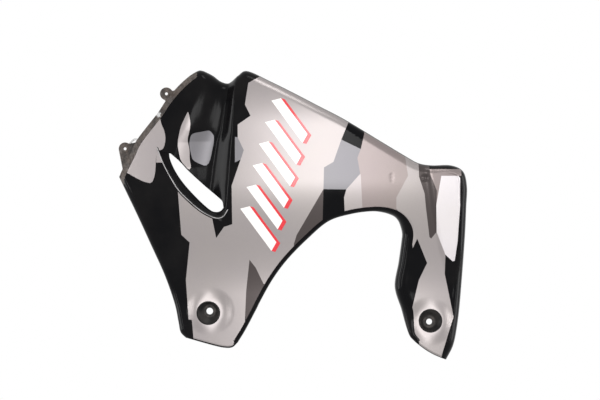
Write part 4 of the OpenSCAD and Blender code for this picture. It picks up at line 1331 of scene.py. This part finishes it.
# Place and size of each lamp in metres, and its share of the front light's or the strips' power
FRONT_LAMPS = {"front_box": ((0.12, -4.3, 0.32), (1.7, 1.3), 1),
               "rear_box": ((1.4, -4.2, 0.3), (0.8, 0.9), 0.28)}
STRIP_LAMPS = {"left_strip": ((-2.1, -1.5, 0.35), (0.22, 1.5), 1),
               "right_strip": ((2.5, -1.2, 0.3), (0.22, 1.5), 1),
               "left_wall": ((-2.3, 0.1, 0.25), (1.3, 1.6), 3),
               "right_wall": ((2.7, 0.1, 0.25), (1.3, 1.6), 3),
               "top_strip": ((0.4, -0.9, 2.2), (0.7, 1.0), 1)}


class COWL_OT_add_studio(bpy.types.Operator):
    """Adds the floor, the soft boxes, the pale surround and the camera"""

    bl_idname = "cowl.add_studio"
    bl_label = "Studio"

    def execute(self, context):
        scene, studio = context.scene, context.scene.cowl_studio
        scene.view_settings.view_transform = "Standard"
        self.add_floor(scene, studio)
        self.add_surround(scene, studio)
        for lamps, power in ((FRONT_LAMPS, studio.front_power), (STRIP_LAMPS, studio.strip_power)):
            for name, (place, size, share) in lamps.items():
                self.add_lamp(scene, name, place, size, share * power)
        data = bpy.data.cameras.new("camera")
        data.sensor_width = SENSOR
        data.lens = SENSOR * studio.camera_distance / studio.view_width
        data.clip_end = SIGHT
        camera = bpy.data.objects.new("camera", data)
        camera.location = MIDDLE - Vector((0, studio.camera_distance, 0))
        camera.rotation_euler = (math.pi / 2, 0, 0)
        scene.collection.objects.link(camera)
        scene.camera = camera
        return {"FINISHED"}

    @staticmethod
    def add_lamp(scene, name, place, size, power):
        """A soft box that looks at the cowl and isn't seen itself."""
        lamp = bpy.data.lights.new(name, "AREA")
        lamp.shape, lamp.size, lamp.size_y, lamp.energy = "RECTANGLE", *size, power
        obj = bpy.data.objects.new(name, lamp)
        obj.location = place
        obj.rotation_euler = (MIDDLE - Vector(place)).to_track_quat("-Z", "Y").to_euler()
        obj.visible_camera = False
        scene.collection.objects.link(obj)

    @staticmethod
    def add_floor(scene, studio):
        """A round white floor that fades into the white ground at its rim."""
        r = studio.floor_radius
        mesh = bpy.data.meshes.new("floor")
        rim = [(x, y, 0) for x, y in circle((0, 0), r, 96).tolist()]
        mesh.from_pydata(rim, [], [tuple(range(96))])
        floor = bpy.data.objects.new("floor", mesh)
        floor.location = (MIDDLE.x, MIDDLE.y, -studio.floor_drop)
        scene.collection.objects.link(floor)
        t = Tree("floor_white")
        t.finish(colour=(0.8, 0.8, 0.8), roughness=0.9, specular=0.1)
        radius = t.node("VectorMath", {0: t.where}, operation="LENGTH").outputs["Value"]
        fade = t.ramp(radius, FADE_START * r, FADE_END * r, MIDDLE_GLOW, 1.0)
        t.links.new(t.times(seen_rays(t.nodes, t.links), fade),
                    t.blend_with_white(t.shader.outputs[0]).inputs[0])
        mesh.materials.append(t.material)

    @staticmethod
    def add_surround(scene, studio):
        """White where it is seen, and a pale studio of set strength for the light it gives."""
        world = bpy.data.worlds.new("studio")
        scene.world = world
        world.use_nodes = True
        nodes, links = world.node_tree.nodes, world.node_tree.links
        ground = nodes["Background"]
        ground.inputs["Color"].default_value = (1, 1, 1, 1)
        ground.inputs["Strength"].default_value = studio.surround
        white = nodes.new("ShaderNodeBackground")
        white.inputs["Color"].default_value = (1, 1, 1, 1)
        blend = nodes.new("ShaderNodeMixShader")
        links.new(seen_rays(nodes, links), blend.inputs[0])
        links.new(ground.outputs[0], blend.inputs[1])
        links.new(white.outputs[0], blend.inputs[2])
        links.new(blend.outputs[0], nodes["World Output"].inputs["Surface"])


def seen_rays(nodes, links):
    """1 for rays that show a thing to the camera, straight, by gloss or through glass."""
    light = nodes.new("ShaderNodeLightPath")
    value = light.outputs["Is Camera Ray"]
    for name in ("Is Glossy Ray", "Is Transmission Ray"):
        largest = nodes.new("ShaderNodeMath")
        largest.operation = "MAXIMUM"
        links.new(value, largest.inputs[0])
        links.new(light.outputs[name], largest.inputs[1])
        value = largest.outputs[0]
    return value


class COWL_PT_builder(bpy.types.Panel):
    """Lists the builders of the cowl's pieces and their settings"""

    bl_idname = "COWL_PT_builder"
    bl_label = "Side cowl"
    bl_space_type = "VIEW_3D"
    bl_region_type = "UI"
    bl_category = "Cowl"

    def draw(self, context):
        layout = self.layout
        for operator in BUILDERS:
            layout.operator(operator.bl_idname)
        for group in (context.scene.cowl_sizes, context.scene.cowl_tones, context.scene.cowl_studio):
            box = layout.box()
            for key in type(group).__annotations__:
                box.prop(group, key)


BUILDERS = (COWL_OT_add_shell, COWL_OT_add_films, COWL_OT_add_bars, COWL_OT_add_grommets,
            COWL_OT_add_studio)
CLASSES = (CowlSizes, CowlTones, CowlStudio, *BUILDERS, COWL_PT_builder)


def register():
    for c in CLASSES:
        bpy.utils.register_class(c)
    bpy.types.Scene.cowl_sizes = bpy.props.PointerProperty(type=CowlSizes)
    bpy.types.Scene.cowl_tones = bpy.props.PointerProperty(type=CowlTones)
    bpy.types.Scene.cowl_studio = bpy.props.PointerProperty(type=CowlStudio)


def unregister():
    del bpy.types.Scene.cowl_studio, bpy.types.Scene.cowl_tones, bpy.types.Scene.cowl_sizes
    for c in reversed(CLASSES):
        bpy.utils.unregister_class(c)


def main():
    register()
    bpy.ops.cowl.add_shell()
    bpy.ops.cowl.add_films()
    bpy.ops.cowl.add_bars()
    bpy.ops.cowl.add_grommets()
    bpy.ops.cowl.add_studio()


if __name__ == "__main__":
    main()
